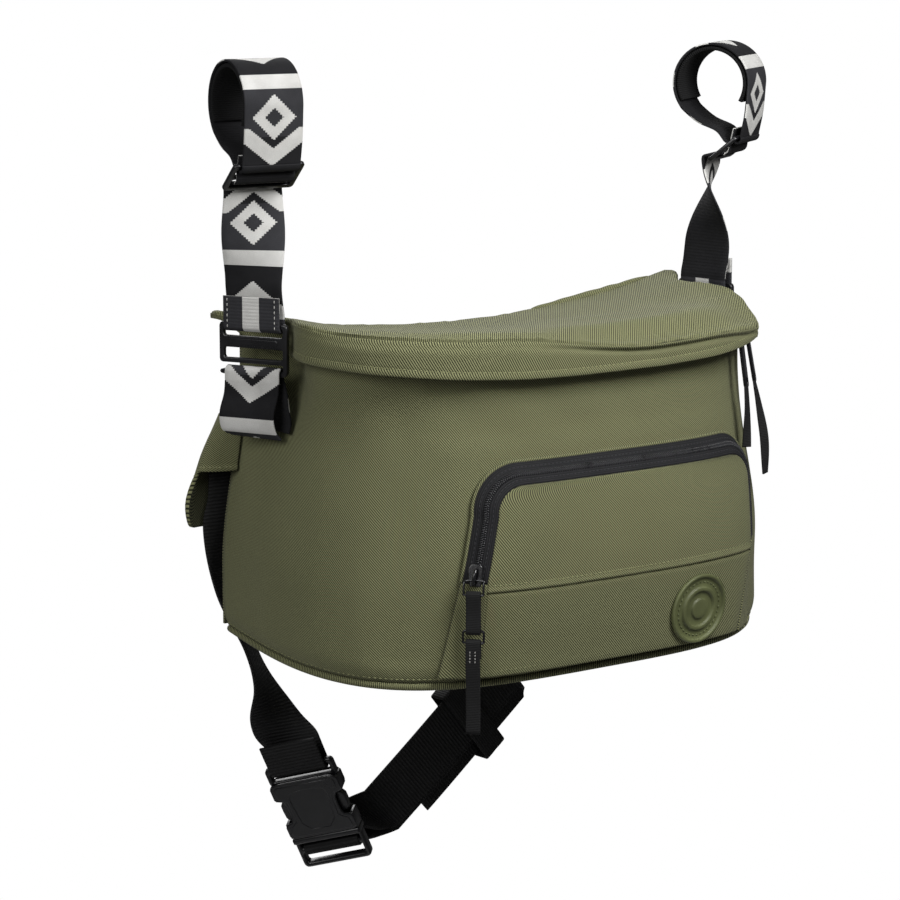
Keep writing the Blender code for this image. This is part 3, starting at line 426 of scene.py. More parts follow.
THREAD_SIDES = 6
THREAD_TURNS = spread(0.0, math.tau, THREAD_SIDES + 1)[:-1]
STITCH_PROUD, STITCH_SUNK = 0.12, -0.25


def add_bead(points, faces, rings):
    """Closed skin over a few small rings: one stitch, or one turn of a zip's spiral."""
    base, last = len(points), len(rings) - 1
    for ring in rings:
        points += ring
    for row in range(last):
        for index in range(THREAD_SIDES):
            a = base + row * THREAD_SIDES + index
            b = base + row * THREAD_SIDES + (index + 1) % THREAD_SIDES
            faces.append((a, b, b + THREAD_SIDES, a + THREAD_SIDES))
    faces.append(tuple(base + index for index in reversed(range(THREAD_SIDES))))
    faces.append(tuple(base + last * THREAD_SIDES + index for index in range(THREAD_SIDES)))


def stitches(name, path, finish, body="bag", stitch=2.3, gap=0.9, radius=0.32):
    """A row of thread stitches along (point, normal) pairs that lie on the cloth."""
    points, faces = [], []
    spots = [Vector(point) for point, _ in path]
    normals = [Vector(normal).normalized() for _, normal in path]
    total = running(spots)
    place = gap
    step = 0

    def at(distance):
        nonlocal step
        while step < len(total) - 2 and total[step + 1] < distance:
            step += 1
        while step > 0 and total[step] > distance:
            step -= 1
        share = (distance - total[step]) / max(1e-6, total[step + 1] - total[step])
        return spots[step].lerp(spots[step + 1], share), normals[step].lerp(normals[step + 1], share)

    while place + stitch < total[-1]:
        rings = []
        for share, size, lift in ((0.0, 0.35, STITCH_SUNK), (0.15, 0.85, 0.0),
                                  (0.5, 1.0, STITCH_PROUD), (0.85, 0.85, 0.0),
                                  (1.0, 0.35, STITCH_SUNK)):
            centre, normal = at(place + stitch * share)
            ahead, _ = at(min(total[-1], place + stitch * share + 0.2))
            way = (ahead - centre).normalized()
            side = way.cross(normal).normalized()
            ring = [centre + normal * lift + (side * math.cos(turn) + normal * math.sin(turn))
                    * radius * size for turn in THREAD_TURNS]
            rings.append(ring)
        add_bead(points, faces, rings)
        place += stitch + gap
    return make_piece(name, points, faces, [finish], body)


def rounded_box(low, high, corner, segments=4):
    """Outline of a rectangle with rounded corners, as (x, y) pairs, counter-clockwise."""
    outline = []
    centres = ((high[0] - corner, high[1] - corner, 0.0), (low[0] + corner, high[1] - corner, 0.5),
               (low[0] + corner, low[1] + corner, 1.0), (high[0] - corner, low[1] + corner, 1.5))
    for x, y, start in centres:
        for turn in spread(start * math.pi, (start + 0.5) * math.pi, segments + 1):
            outline.append((x + corner * math.cos(turn), y + corner * math.sin(turn)))
    return outline


def cast_plate(name, outlines, thick, placing, finish, body="bag", edge=0.6):
    """Moulded plate from flat outlines, the first around and the others as holes, edges rounded."""
    curve = bpy.data.curves.new(name, "CURVE")
    curve.dimensions = "2D"
    curve.fill_mode = "BOTH"
    curve.extrude = (thick / 2 - edge) * MM
    curve.bevel_depth = edge * MM
    curve.bevel_resolution = 3
    curve.offset = -edge * MM
    for outline in outlines:
        spline = curve.splines.new("POLY")
        spline.points.add(len(outline) - 1)
        for point, (x, y) in zip(spline.points, outline):
            point.co = (x * MM, y * MM, 0.0, 1.0)
        spline.use_cyclic_u = True
    drawn = bpy.data.objects.new(name + "_outline", curve)
    bpy.context.scene.collection.objects.link(drawn)
    bpy.context.view_layer.update()
    mesh = bpy.data.meshes.new_from_object(drawn.evaluated_get(bpy.context.evaluated_depsgraph_get()))
    bpy.data.objects.remove(drawn, do_unlink=True)
    mesh.name = name
    mesh.transform(placing)
    mesh.materials.clear()
    mesh.materials.append(finish.material)
    mesh.shade_smooth()
    made = bpy.data.objects.new(name, mesh)
    bpy.context.scene.collection.objects.link(made)
    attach(made, body)
    return made


def standing(centre, across, up):
    """Placing with local X along across and local Y near up, so local Z is the plate's face."""
    x_axis = Vector(across).normalized()
    y_axis = (Vector(up) - x_axis * Vector(up).dot(x_axis)).normalized()
    z_axis = x_axis.cross(y_axis)
    turn = Matrix((x_axis, y_axis, z_axis)).transposed().to_4x4()
    return Matrix.Translation(Vector(centre) * MM) @ turn


print("builders ready")

# %% [markdown]
# ## The bag's cloth
# The bag is sewn from a heavy olive twill. A twill shows fine slanted ridges, called wales, because
# each weft thread floats over two warp threads and steps along by one. A picture of cloth would blur
# up close, so the wales are computed: a slanted saw wave gives the ridge, and a second one across it
# cuts the ridge into threads. The colour follows the same height: lit olive on the ridges and near
# black in the valleys, which is painted shade of the wales. Slow noise then fades the dye a little,
# as washed cloth shows.

# %% Olive twill
WALE, THREAD_SHARE, TWILL_RELIEF = 1.6, 0.62, 0.00025


def twill_finish(name, base, light, slant=1.0):
    made = Finish(name, roughness=0.88, Specular_IOR_Level=0.22, Sheen_Weight=0.05)
    u, v, _ = made.cloth_map()
    where = made.place()
    wander = made.clouds(where, 40.0, 1.0) * 0.25
    wale = ((u + v * slant) / WALE + wander).maths("FRACT")
    ridge = (wale * math.pi).maths("SINE")
    thread = ((u * slant - v) / (WALE * THREAD_SHARE) + (wale > 0.5) * 0.5).maths("FRACT")
    knot = (thread * math.pi).maths("SINE").power(0.6)
    fuzz = made.clouds(where, 2600.0, 2.0)
    height = ridge * 0.72 + knot * 0.22 * ridge + fuzz * 0.08
    worn = made.clouds(where, 9.0, 2.0)
    # Painted shade and light: the colour is near black in the wale valleys and lit olive on the ridges,
    # plus random tone.
    relief_shade_and_tone = (height + (worn - 0.5) * 0.12).fade(0.25, 0.95)
    made.feed("Base Color", made.blend(relief_shade_and_tone, base, light))
    made.feed("Roughness", 0.93 - ridge * 0.1)
    made.relief(height, TWILL_RELIEF)
    return made


# Lit and shaded copies of one olive: the valley colour is painted shade and the ridge colour painted
# light.
OLIVE_VALLEY_SHADED, OLIVE_RIDGE_LIT = (0.008, 0.009, 0.004), (0.252, 0.257, 0.130)
olive = twill_finish("olive_twill", OLIVE_VALLEY_SHADED, OLIVE_RIDGE_LIT)
olive_low = twill_finish("olive_twill_level", OLIVE_VALLEY_SHADED, OLIVE_RIDGE_LIT, slant=-1.0)
# Painted shade: the inside faces of the walls, rim, wings and pocket get a near-black olive, as the
# inside lies in shadow.
olive_inside_shade = twill_finish("olive_inside_painted_shade", (0.006, 0.007, 0.003), (0.070, 0.072, 0.036))
print("twill:", olive.material.name, len(olive.tree.nodes), "nodes")

# %% [markdown]
# ## Webbing and tape
# The waist webbing is woven black with strong cross ribs. The straps are a jacquard webbing, where
# the pattern is woven in from off-white, charcoal and black yarns and the back stays black. The
# pattern here is a plain geometric one: bands, stepped diamonds and chevrons. It is worked out from
# the cloth map, so it bends and folds with the strap, and its slanted edges go in steps of one
# group of yarns, as a loom makes them.

# %% Black webbings and tapes
def ribbed_finish(name, dark, light, pitch=2.0, depth=0.00035, roughness=0.75):
    made = Finish(name, roughness=roughness, Specular_IOR_Level=0.3)
    u, v, _ = made.cloth_map()
    where = made.place()
    rib = ((v / pitch + made.clouds(where, 260.0, 2.0) * 0.25) * math.tau).wave()
    strand = ((u / 0.75 + (v / pitch).maths("FLOOR") * 0.5) * math.tau).wave()
    fuzz = made.clouds(where, 2400.0, 2.0)
    height = rib * 0.66 + strand * 0.24 + fuzz * 0.16
    # Painted shade: the colour is darker in the grooves between ribs and lighter on their tops, plus
    # random tone.
    relief_shade_and_tone = (height * 0.85 + (made.clouds(where, 60.0) - 0.5) * 0.4).fade(0.1, 1.05)
    made.feed("Base Color", made.blend(relief_shade_and_tone, dark, light))
    made.relief(height, depth)
    return made


belt_black = ribbed_finish("belt_webbing_black", (0.002, 0.002, 0.002), (0.016, 0.016, 0.017), 2.2,
                           0.0005)
lining_black = ribbed_finish("loop_lining_black", (0.002, 0.002, 0.002), (0.010, 0.010, 0.011), 1.3,
                             0.0003, 0.95)
tape_black = ribbed_finish("narrow_tape_black", (0.002, 0.002, 0.002), (0.015, 0.015, 0.016), 1.0,
                           0.00018)
elastic_black = ribbed_finish("keeper_elastic", (0.002, 0.002, 0.002), (0.013, 0.013, 0.014), 1.6,
                              0.00035)
zip_tape = ribbed_finish("zip_tape_charcoal", (0.003, 0.003, 0.004), (0.019, 0.019, 0.021), 1.2,
                         0.00025)


# %% Patterned strap webbing
STRAP_WIDTH = 37.0
REPEAT, BAND_LENGTH, STAIR = 62.0, 9.0, 1.3
DIAMOND_AT, DIAMOND_OUTER, DIAMOND_INNER, DIAMOND_SLOPE = 25.0, 13.0, 5.5, 0.95
CHEVRON_AT, CHEVRON_HALF, CHEVRON_SLOPE, CHEVRON_FROM = 48.0, 5.2, 0.75, 31.0
BLACK_FROM, COLUMN_HALF = 36.0, 5.5
STRAND, PICK, BACK_RIB = 0.72, 0.55, 2.0


def jacquard_finish(name, start=0.0, fold=30.0):
    """Face: bands, stepped diamonds and chevrons. Back: black, with a pale column over the first
    stretch, called the fold, where the sewn end shows."""
    made = Finish(name, roughness=0.84, Specular_IOR_Level=0.25)
    u, v, _ = made.cloth_map()
    where = made.place()
    back = u > (STRAP_WIDTH + BACK_MAP) / 2
    across = u - back * BACK_MAP
    mid = (across - STRAP_WIDTH / 2).size()
    along = (v + start).saw(REPEAT) * REPEAT
    stair = (across / STAIR).maths("FLOOR") * STAIR
    off_middle = (stair - STRAP_WIDTH / 2 + STAIR / 2).size()
    band = along < BAND_LENGTH
    diamond_reach = off_middle * DIAMOND_SLOPE + (along - DIAMOND_AT).size()
    diamond = (diamond_reach < DIAMOND_OUTER) - (diamond_reach < DIAMOND_INNER)
    chevron_reach = (along - CHEVRON_AT + off_middle * CHEVRON_SLOPE).size()
    chevron = (chevron_reach < CHEVRON_HALF) * (along > CHEVRON_FROM)
    face_white = band.most(diamond).most(chevron) * (1.0 - back)
    folded = back * (v < fold)
    white = face_white.most(folded * (mid < COLUMN_HALF))
    pale_ground = (1.0 - (along > BLACK_FROM)) * (1.0 - back) + folded
    strand = ((across / STRAND + (v / PICK).maths("FLOOR") * 0.5) * math.tau).wave()
    pick = ((v / PICK) * math.tau).wave()
    rib = ((v / BACK_RIB) * math.tau).wave()
    fuzz = made.clouds(where, 2500.0, 2.0)
    weave = strand * 0.3 + pick * 0.3 + fuzz * 0.25 + white * 0.12
    height = weave + back * (rib * 0.6)
    shade = (weave + (made.clouds(where, 70.0) - 0.5) * 0.5).fade(0.0, 0.9)
    dark = made.blend(shade, (0.003, 0.003, 0.004), (0.016, 0.016, 0.018))
    grey = made.blend(shade, (0.014, 0.014, 0.016), (0.046, 0.046, 0.052))
    cream = made.blend(shade, (0.30, 0.295, 0.28), (0.74, 0.735, 0.71))
    ground_color = made.blend(pale_ground, dark, grey)
    made.feed("Base Color", made.blend(white, ground_color, cream))
    made.relief(height, 0.00022)
    return made


strap_cloth = jacquard_finish("strap_jacquard")
anchor_cloth = jacquard_finish("anchor_jacquard", start=49.0, fold=0.0)
print("webbing finishes ready")

# %% [markdown]
# ## Plastic, metal, rubber and thread
# The hooks, glides and buckle are satin black acetal with the fine grain of a spark-eroded mould. It
# is a faint bump, and a slow change of roughness where hands have polished it. The sliders are
# enamelled, so they get a coat. The badge is soft moulded rubber.

# %% Hard finishes
def plastic_finish(name, color, roughness=0.42, grain=0.00003):
    made = Finish(name, roughness=roughness, Specular_IOR_Level=0.5)
    where = made.place()
    speck = made.clouds(where, 5200.0, 2.0)
    rubbed = made.clouds(where, 48.0, 3.0)
    made.feed("Roughness", roughness + (rubbed - 0.5) * 0.22 + (speck - 0.5) * 0.1)
    worn = tuple(channel * 1.5 for channel in color)
    made.feed("Base Color", made.blend(rubbed.fade(0.3, 0.75), color, worn))
    made.relief(speck, grain)
    return made


plastic = plastic_finish("satin_black_plastic", (0.005, 0.005, 0.006), 0.30, 0.000015)
coil_plastic = plastic_finish("zip_coil_black", (0.016, 0.016, 0.018), 0.30, 0.00002)
enamel = plastic_finish("black_enamel", (0.005, 0.005, 0.006), 0.22, 0.000008)
enamel.shader.inputs["Coat Weight"].default_value = 0.5
badge_rubber = plastic_finish("olive_rubber", (0.082, 0.092, 0.036), 0.55, 0.00004)


def thread_finish(name, dark, light):
    made = Finish(name, roughness=0.75, Specular_IOR_Level=0.3)
    where = made.place()
    twist = made.clouds(where, 1900.0, 2.0)
    made.feed("Base Color", made.blend(twist.fade(0.3, 0.7), dark, light))
    made.relief(twist, 0.0001)
    return made


# Partly painted highlight: the thread keeps its own olive but is made lighter, so the seams read as lit
# edges.
olive_thread_and_highlight = thread_finish("olive_thread_and_highlight", (0.150, 0.155, 0.072), (0.290, 0.295, 0.155))
pale_thread = thread_finish("pale_thread", (0.38, 0.37, 0.35), (0.60, 0.59, 0.56))
grey_thread = thread_finish("grey_thread", (0.020, 0.020, 0.023), (0.055, 0.055, 0.060))
print("hard finishes ready")

# %% [markdown]
# ## The bag's body
# The body is one long curved wall of twill, sewn to a flat back and a stiffened bottom. The plain way
# is to extrude its outline, but a sewn bag swells below, is pulled in where the straps hang, and
# puckers along its seams. So the outline is a rounded crescent whose width and depth change with
# height, and small folds are added on top of it.

# %% Driving sizes of the body, in millimetres
Y_BACK = 39.0
CLOTH = 2.4
FINE_CLOTH = 2.0
SEAT_GAP = 0.3
BODY_POWER = 3.3
TOP_HALF_WIDTH, TOP_DEPTH = 158.0, 147.0
WIDTH_FLARE, DEPTH_FLARE = 14.0, 8.0
FLARE_START, FLARE_LENGTH = -165.0, 115.0
WALL_TOP, WALL_TOP_SAG = -141.0, 8.0
BOTTOM_FRONT, BOTTOM_RISE = -331.0, 15.0
PINCH, PINCH_Y, PINCH_REACH = 14.0, -2.0, 24.0
PINCH_FADE_LOW, PINCH_FADE_LENGTH = -212.0, 50.0
LID_HALF_WIDTH, LID_DEPTH, LID_POWER = 166.0, 155.0, 3.6
LID_TOP, LID_FRONT_SAG, LID_BACK_SAG, LID_RIGHT_DROOP, LID_TIP = -121.0, 9.0, 21.0, 7.0, 9.0
RIM_LOW, RIM_SAG, RIM_BACK_DROP = -147.0, 10.0, 5.5


def half_width(z):
    return TOP_HALF_WIDTH + WIDTH_FLARE * ease((FLARE_START - z) / FLARE_LENGTH)


def depth(z):
    return TOP_DEPTH + DEPTH_FLARE * ease((FLARE_START - z) / FLARE_LENGTH)


def crescent(turn, wide, deep, power):
    """Outline seen from above, turn 0 at the left back corner and 1 at the right."""
    cosine, sine = math.cos(math.pi * turn), math.sin(math.pi * turn)
    x = -wide * math.copysign(abs(cosine) ** (2.0 / power), cosine)
    return x, Y_BACK - deep * abs(sine) ** (2.0 / power)


def pinched(x, y, z):
    """Pull the upper sides in where the straps hang."""
    pull = PINCH * bump(y, PINCH_Y, PINCH_REACH)
    pull *= ease((z - PINCH_FADE_LOW) / PINCH_FADE_LENGTH) * min(1.0, abs(x) / TOP_HALF_WIDTH) ** 4
    return x - math.copysign(pull, x), y, z


def bottom_edge(y):
    share = (y - (Y_BACK - TOP_DEPTH)) / TOP_DEPTH
    return BOTTOM_FRONT + BOTTOM_RISE * max(0.0, share) ** 1.5


def top_edge(x):
    return WALL_TOP - WALL_TOP_SAG * (1.0 - min(1.0, (x / TOP_HALF_WIDTH) ** 2))


def lid_height(x, y):
    back = min(1.0, max(0.0, (y - (Y_BACK - LID_DEPTH)) / LID_DEPTH))
    sag = mix(LID_FRONT_SAG, LID_BACK_SAG, ease(back))
    dip = 1.0 - min(1.0, (x / (LID_HALF_WIDTH + LID_TIP)) ** 2)
    droop = LID_RIGHT_DROOP * ease((x - 80.0) / 80.0) * ease((-10.0 - y) / 60.0)
    return LID_TOP - 3.0 * back - sag * dip - droop


def on_front(x, z, lift):
    """Point over the front wall at x, z, moved out by lift."""
    wide, deep = half_width(z), depth(z)
    share = min(0.999, abs(x) / wide)
    reach = (1.0 - share ** BODY_POWER) ** (1.0 / BODY_POWER)
    normal_x = math.copysign((abs(x) / wide) ** (BODY_POWER - 1.0) / wide, x)
    normal_y = -(reach ** (BODY_POWER - 1.0)) / deep
    size = math.hypot(normal_x, normal_y)
    return Vector((x + lift * normal_x / size, Y_BACK - deep * reach + lift * normal_y / size, z))


print("half width at the bottom:", half_width(BOTTOM_FRONT))

# %% The front wall, with puckers along its seams
PUCKER = 0.45
CURL = 3.4
SIDE_FROM, SIDE_BLEND = 122.0, 18.0
OPEN_LEFT, OPEN_LEFT_BLEND = -96.0, 26.0
OPEN_ABOVE, OPEN_ABOVE_BLEND = -200.0, 16.0
FLAT_SLACK, OPEN_SLACK = 0.5, 1.9


def even_turns(count):
    """Turns that give even steps along the crescent, which crowds its corners otherwise."""
    fine = spread(0.0, 1.0, 1201)
    spots = [Vector((*crescent(turn, TOP_HALF_WIDTH, TOP_DEPTH, BODY_POWER), 0.0)) for turn in fine]
    total = running(spots)
    turns, step = [], 0
    for index in range(count):
        wanted = total[-1] * index / (count - 1)
        while step < len(fine) - 2 and total[step + 1] < wanted:
            step += 1
        share = (wanted - total[step]) / (total[step + 1] - total[step])
        turns.append(mix(fine[step], fine[step + 1], min(1.0, share)))
    return turns


def wall_point(turn, share, lift):
    x, y = crescent(turn, TOP_HALF_WIDTH, TOP_DEPTH, BODY_POWER)
    z = mix(bottom_edge(y), top_edge(x), share)
    above = z - bottom_edge(y)
    below = top_edge(x) - z
    curl = CURL * (1.0 - min(1.0, above / 11.0)) ** 2
    pucker = PUCKER * ripple(x, y, 0.0, 6.5, 1) * math.exp(-above / 9.0)
    pucker += PUCKER * 1.3 * ripple(x, y, 0.0, 8.5, 2) * math.exp(-below / 16.0)
    slack = 0.9 * ripple(x, y, z, 46.0, 3) + 0.5 * ripple(x, y, z * 0.5, 21.0, 4)
    side = ease((abs(x) - SIDE_FROM) / SIDE_BLEND)
    no_pocket = max(ease((OPEN_LEFT - x) / OPEN_LEFT_BLEND),
                    ease((z - OPEN_ABOVE) / OPEN_ABOVE_BLEND))
    drape = 1.0 - 0.6 * ripple(x, y, z, 52.0, 5) - 0.5 * ripple(x + z * 0.8, y, z * 0.3, 30.0, 6)
    sunk = mix(FLAT_SLACK * (1.0 - slack), OPEN_SLACK * drape, no_pocket)
    slack = slack * side - sunk * (1.0 - side)
    out = lift - curl + pucker + slack * min(1.0, above / 14.0) * min(1.0, below / 10.0)
    x, y = crescent(turn, half_width(z) + out, depth(z) + out, BODY_POWER)
    return pinched(x, y, z)


wall_turns = even_turns(300)
front_wall = cloth_sheet("front_wall", wall_point, wall_turns, spread(0.0, 1.0, 72), -CLOTH, 0.0,
                         [olive, olive_inside_shade])
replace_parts(front_wall, "front_panel")

wall_seam = [(wall_point(turn, 0.012, 0.1), Vector(wall_point(turn, 0.012, 1.0))
              - Vector(wall_point(turn, 0.012, 0.0))) for turn in wall_turns]
stitches("bottom_seam_stitches", wall_seam, olive_thread_and_highlight)
print("front wall:", len(front_wall.data.polygons), "faces")

# %% [markdown]
# ## Back and bottom
# Nobody sees the back in use, but it rubs against whatever the bag hangs on, so it gets the same
# cloth over soft foam, quilted into channels by three lines of stitches. The bottom is a stiff board
# in a sleeve of twill, so it stays flat with a soft rounded edge.

# %% Back panel and bottom panel
BACK_THICK = 5.0
BOTTOM_THICK = 5.0
CHANNELS = (-92.0, 0.0, 92.0)


def back_point(u, v, lift):
    low = bottom_edge(Y_BACK) + 1.0
    high = lid_height(u * (TOP_HALF_WIDTH - 1.0), Y_BACK) - CLOTH - 2.5 * SEAT_GAP
    z = mix(low, high, v)
    x = u * (half_width(z) - 1.0)
    if lift > 0.1:
        edge = min(1.0, (1.0 - abs(u)) / 0.03, v / 0.03, (1.0 - v) / 0.03)
        lift = mix(BACK_THICK * 0.45, BACK_THICK, ease(edge))
        lift -= 1.5 * max(bump(x, channel, 3.2) for channel in CHANNELS)
        lift += 0.5 * ripple(x, 0.0, z, 34.0, 7) * edge - 0.4
    return x, Y_BACK + SEAT_GAP + lift, z


back_wall = cloth_sheet("back_wall", back_point, spread(-1.0, 1.0, 140), spread(0.0, 1.0, 70),
                        0.0, BACK_THICK, [olive, olive_inside_shade])
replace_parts(back_wall, "back_panel")


def back_row(x, name):
    rows = []
    for v in spread(0.04, 0.96, 60):
        z = back_point(0.0, v, 0.0)[2]
        spot = back_point(x / (half_width(z) - 1.0), v, BACK_THICK)
        rows.append((spot, (0.0, 1.0, 0.0)))
    return stitches(name, rows, olive_thread_and_highlight)


for number, channel in enumerate(CHANNELS):
    back_row(channel, "back_stitches_%d" % (number + 1))


def bottom_rings():
    rings = []
    profile = [(0.6, SEAT_GAP), (0.0, 0.9), (-0.3, 2.0), (0.0, 3.2), (1.0, 4.3), (2.6, 5.0),
               (5.0, 5.5), (9.0, 6.1), (12.0, BOTTOM_THICK + 1.6)]
    wide, deep = half_width(BOTTOM_FRONT), depth(BOTTOM_FRONT)
    for inset, drop in profile:
        inset += CURL * 0.8
        ring = []
        for turn in wall_turns[::2]:
            x, y = crescent(turn, wide - inset, deep - inset, BODY_POWER)
            ring.append((x, y, bottom_edge(y) - drop))
        for x in spread(wide - inset, inset - wide, 60)[1:-1]:
            ring.append((x, Y_BACK, bottom_edge(Y_BACK) - drop))
        rings.append(ring)
    middle = Y_BACK - TOP_DEPTH / 2

    def drawn_in(ring, share, drop):
        spots = []
        for x, y, _ in ring:
            new_x, new_y = x * share, mix(middle, y, share)
            spots.append((new_x, new_y, bottom_edge(new_y) - drop))
        return spots

    shares = spread(0.05, 0.96, 14)
    inner = [drawn_in(rings[0], share, SEAT_GAP) for share in shares]
    outer = [drawn_in(rings[-1], share, BOTTOM_THICK + 1.6) for share in shares[::-1]]
    return inner + rings + outer


def planar_map(piece, turn=0.0):
    """Lay the cloth map flat from above, for cloth that lies level."""
    layer = piece.data.uv_layers["cloth"]
    for loop in piece.data.loops:
        spot = piece.data.vertices[loop.vertex_index].co / MM
        layer.data[loop.index].uv = (spot.x * math.cos(turn) + spot.y * math.sin(turn),
                                     spot.y * math.cos(turn) - spot.x * math.sin(turn))


bottom_board = skin("bottom_board", bottom_rings(), [olive_low])
planar_map(bottom_board)
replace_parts(bottom_board, "bottom_panel")
print("bottom board:", len(bottom_board.data.polygons), "faces")

# %% [markdown]
# ## The lid
# The lid is a soft flap with a deep rim that hangs over the zip. It sags between the straps and more
# towards the back. A flat plate with a bevel would look like a box, so the top is a dense net of
# rings that follows the sag, gathered a little along its seam, and the rim is its own strip of twill
# with a rolled hem.

# %% Lid top
LID_MIDDLE = Y_BACK - LID_DEPTH * 0.45


RIM_STEPS, BACK_STEPS = 300, 90


def lid_outline(inset):
    """Closed outline of the lid; the back corners reach outwards as tips."""
    wide, deep = LID_HALF_WIDTH - inset, LID_DEPTH - inset
    outline = []
    for index in range(RIM_STEPS):
        turn = wall_turns[round(index * (len(wall_turns) - 1) / (RIM_STEPS - 1))]
        x, y = crescent(turn, wide, deep, LID_POWER)
        outline.append((x + math.copysign(ease((y - 12.0) / 27.0) * LID_TIP, x), y))
    back_y = Y_BACK + BACK_THICK + 2 * SEAT_GAP + CLOTH - inset
    for x in spread(wide + LID_TIP - 1.5, 1.5 - wide - LID_TIP, BACK_STEPS):
        outline.append((x, back_y))
    return outline


def rim_height(x, y):
    front = RIM_LOW - RIM_SAG * (1.0 - min(1.0, (x / LID_HALF_WIDTH) ** 2))
    back = lid_height(x, y) - RIM_BACK_DROP
    return mix(front, back, ease((y - 8.0) / 30.0))


EDGE_FALL, EDGE_ROUND = 11.5, 3.4


def fallen(x, y):
    """Share by which the lid's front edge has sunk into a crease; only its right half has."""
    return ease((x + 75.0) / 115.0) * ease((-50.0 - y) / 40.0)


def rounded_share(x, y):
    """Share by which the lid's front edge is rolled over softly; its left half is."""
    return ease((-30.0 - y) / 40.0) * (1.0 - fallen(x, y))


def gather(x, y):
    """Small puckers where the rim is sewn on, deeper along the sunken edge."""
    small = 0.55 * ripple(x, y, 0.0, 5.5, 11) + 0.5 * ripple(x, y, 0.0, 13.0, 12)
    return small * (1.0 + 1.6 * fallen(x, y))


def lid_ring(inset, drop, share=1.0, wavy=1.0):
    ring = []
    for x, y in lid_outline(inset):
        new_x, new_y = x * share, mix(LID_MIDDLE, y, share)
        z = lid_height(new_x, new_y) - drop
        z += wavy * (0.9 * ripple(new_x, new_y, 0.0, 38.0, 13) * (1.0 - share ** 6)
                     + gather(x, y) * ease((share - 0.86) / 0.14) * (0.9 if inset < 3.5 else 0.4))
        near = ease((share - 0.72) / 0.28)
        z -= EDGE_FALL * fallen(x, y) * near ** 2
        roll = EDGE_ROUND * rounded_share(x, y)
        z -= roll * 0.8 * ease((share - 0.93) / 0.07)
        if inset < 3.5 and share > 0.999:
            size = math.hypot(new_x, new_y - LID_MIDDLE)
            pull = 1.0 - roll * (3.0 - inset) / 2.6 / size
            new_x, new_y = new_x * pull, mix(LID_MIDDLE, new_y, pull)
        ring.append(pinched(new_x, new_y, z))
    return ring


def make_lid_top():
    rings = [lid_ring(3.0, 0.0, share) for share in spread(0.04, 0.985, 34)]
    rings += [lid_ring(3.0, 0.0), lid_ring(1.7, 0.35), lid_ring(0.8, 1.0), lid_ring(0.4, 1.9),
              lid_ring(0.5, 2.5)]
    rings += [lid_ring(CLOTH + 0.4, 2.6, wavy=0.5)]
    rings += [lid_ring(CLOTH + 1.5, CLOTH, share, wavy=0.5) for share in spread(0.985, 0.04, 20)]
    made = skin("lid_top", rings, [olive_low])
    planar_map(made, math.radians(8.0))
    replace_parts(made, "lid_panel")
    return made


lid_top = make_lid_top()
print("lid top:", len(lid_top.data.polygons), "faces")

# %% Lid rim with its hem and stitches
outline_rim = lid_outline(0.0)
RIM_TOP_DROP = 2.2


def rim_point(step, share, lift):
    x, y = outline_rim[step % len(outline_rim)]
    size = math.hypot(x, y - LID_MIDDLE)
    out_x, out_y = x / size, (y - LID_MIDDLE) / size
    sunk, roll = fallen(x, y), EDGE_ROUND * rounded_share(x, y)
    high = lid_height(x, y) - RIM_TOP_DROP - EDGE_FALL * sunk - roll * 0.8
    low = rim_height(x, y)
    z = mix(low, high, share)
    tall = high - low
    above = z - low
    below = tall - above
    deep = min(1.0, tall / 14.0)
    hem = 0.55 * bump(above, 1.9, 1.9) - 0.35 * bump(above, 4.4, 0.8)
    crease = 0.9 * sunk * bump(below, 0.4, 1.3) - (0.3 + 2.3 * sunk) * bump(below, 3.2, 1.3)
    crease -= roll * (1.0 - min(1.0, below / 8.0)) ** 2
    wavy = (1.1 * ripple(x, y, z * 0.4, 27.0, 15) + 0.35 * ripple(x, y, z, 9.0, 16)) * deep
    wavy *= min(1.0, below / 8.0 + 0.15)
    out = lift + hem * deep + crease * deep + wavy * 0.8 + gather(x, y) * 0.25
    z += 0.6 * ripple(x, y, 0.0, 30.0, 18) * (1.0 - share)
    px, py, pz = pinched(x, y, z)
    return px + out_x * out, py + out_y * out, pz


rim_steps = list(range(len(outline_rim)))
lid_rim = cloth_sheet("lid_rim", rim_point, rim_steps, spread(0.0, 1.0, 26), -CLOTH, 0.0,
                      [olive, olive_inside_shade], looped=True)
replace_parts(lid_rim, "lid_panel")


def rim_row(height, lift):
    row = []
    for step in range(0, 300):
        x, y = outline_rim[step]
        tall = lid_height(x, y) - RIM_TOP_DROP - rim_height(x, y)
        tall -= EDGE_FALL * fallen(x, y) + EDGE_ROUND * rounded_share(x, y) * 0.8
        share = min(0.9, height / tall)
        spot = Vector(rim_point(step, share, lift))
        row.append((spot, Vector(rim_point(step, share, lift + 1.0)) - spot))
    return row


stitches("rim_hem_stitches", rim_row(4.3, 0.0), olive_thread_and_highlight)
print("lid rim:", len(lid_rim.data.polygons), "faces")

# %% Puffed hem where the lid's back edge meets the right strap
hem_path = []
for x in spread(62.0, 158.0, 60):
    z = lid_height(x, Y_BACK) - 0.8 + 0.7 * ripple(x, 0.0, 0.0, 11.0, 19)
    hem_path.append((x, Y_BACK + BACK_THICK + 1.0, z))
back_hem = rod("lid_back_hem", hem_path,
               lambda share: 0.8 + 2.4 * math.sin(math.pi * share) ** 0.5, [olive])

# %% [markdown]
# ## Zips
# A coil zip is two tapes with a nylon spiral sewn along each edge, and the two spirals mesh. From a
# step away the coil reads as a row of small slanted ridges with a groove in the middle. Each turn
# of the spiral is one short bent bead here, laid along the tape, which catches the light as the real
# one does.

# %% Coil beads along a path
COIL_PITCH, COIL_REACH, COIL_RADIUS = 1.35, 1.9, 0.42
COIL_KEYS = ((COIL_REACH, -0.3, 0.0), (COIL_REACH * 0.85, 0.35, 0.05),
             (COIL_REACH * 0.35, 0.55, 0.25), (-0.25, 0.35, 0.4))


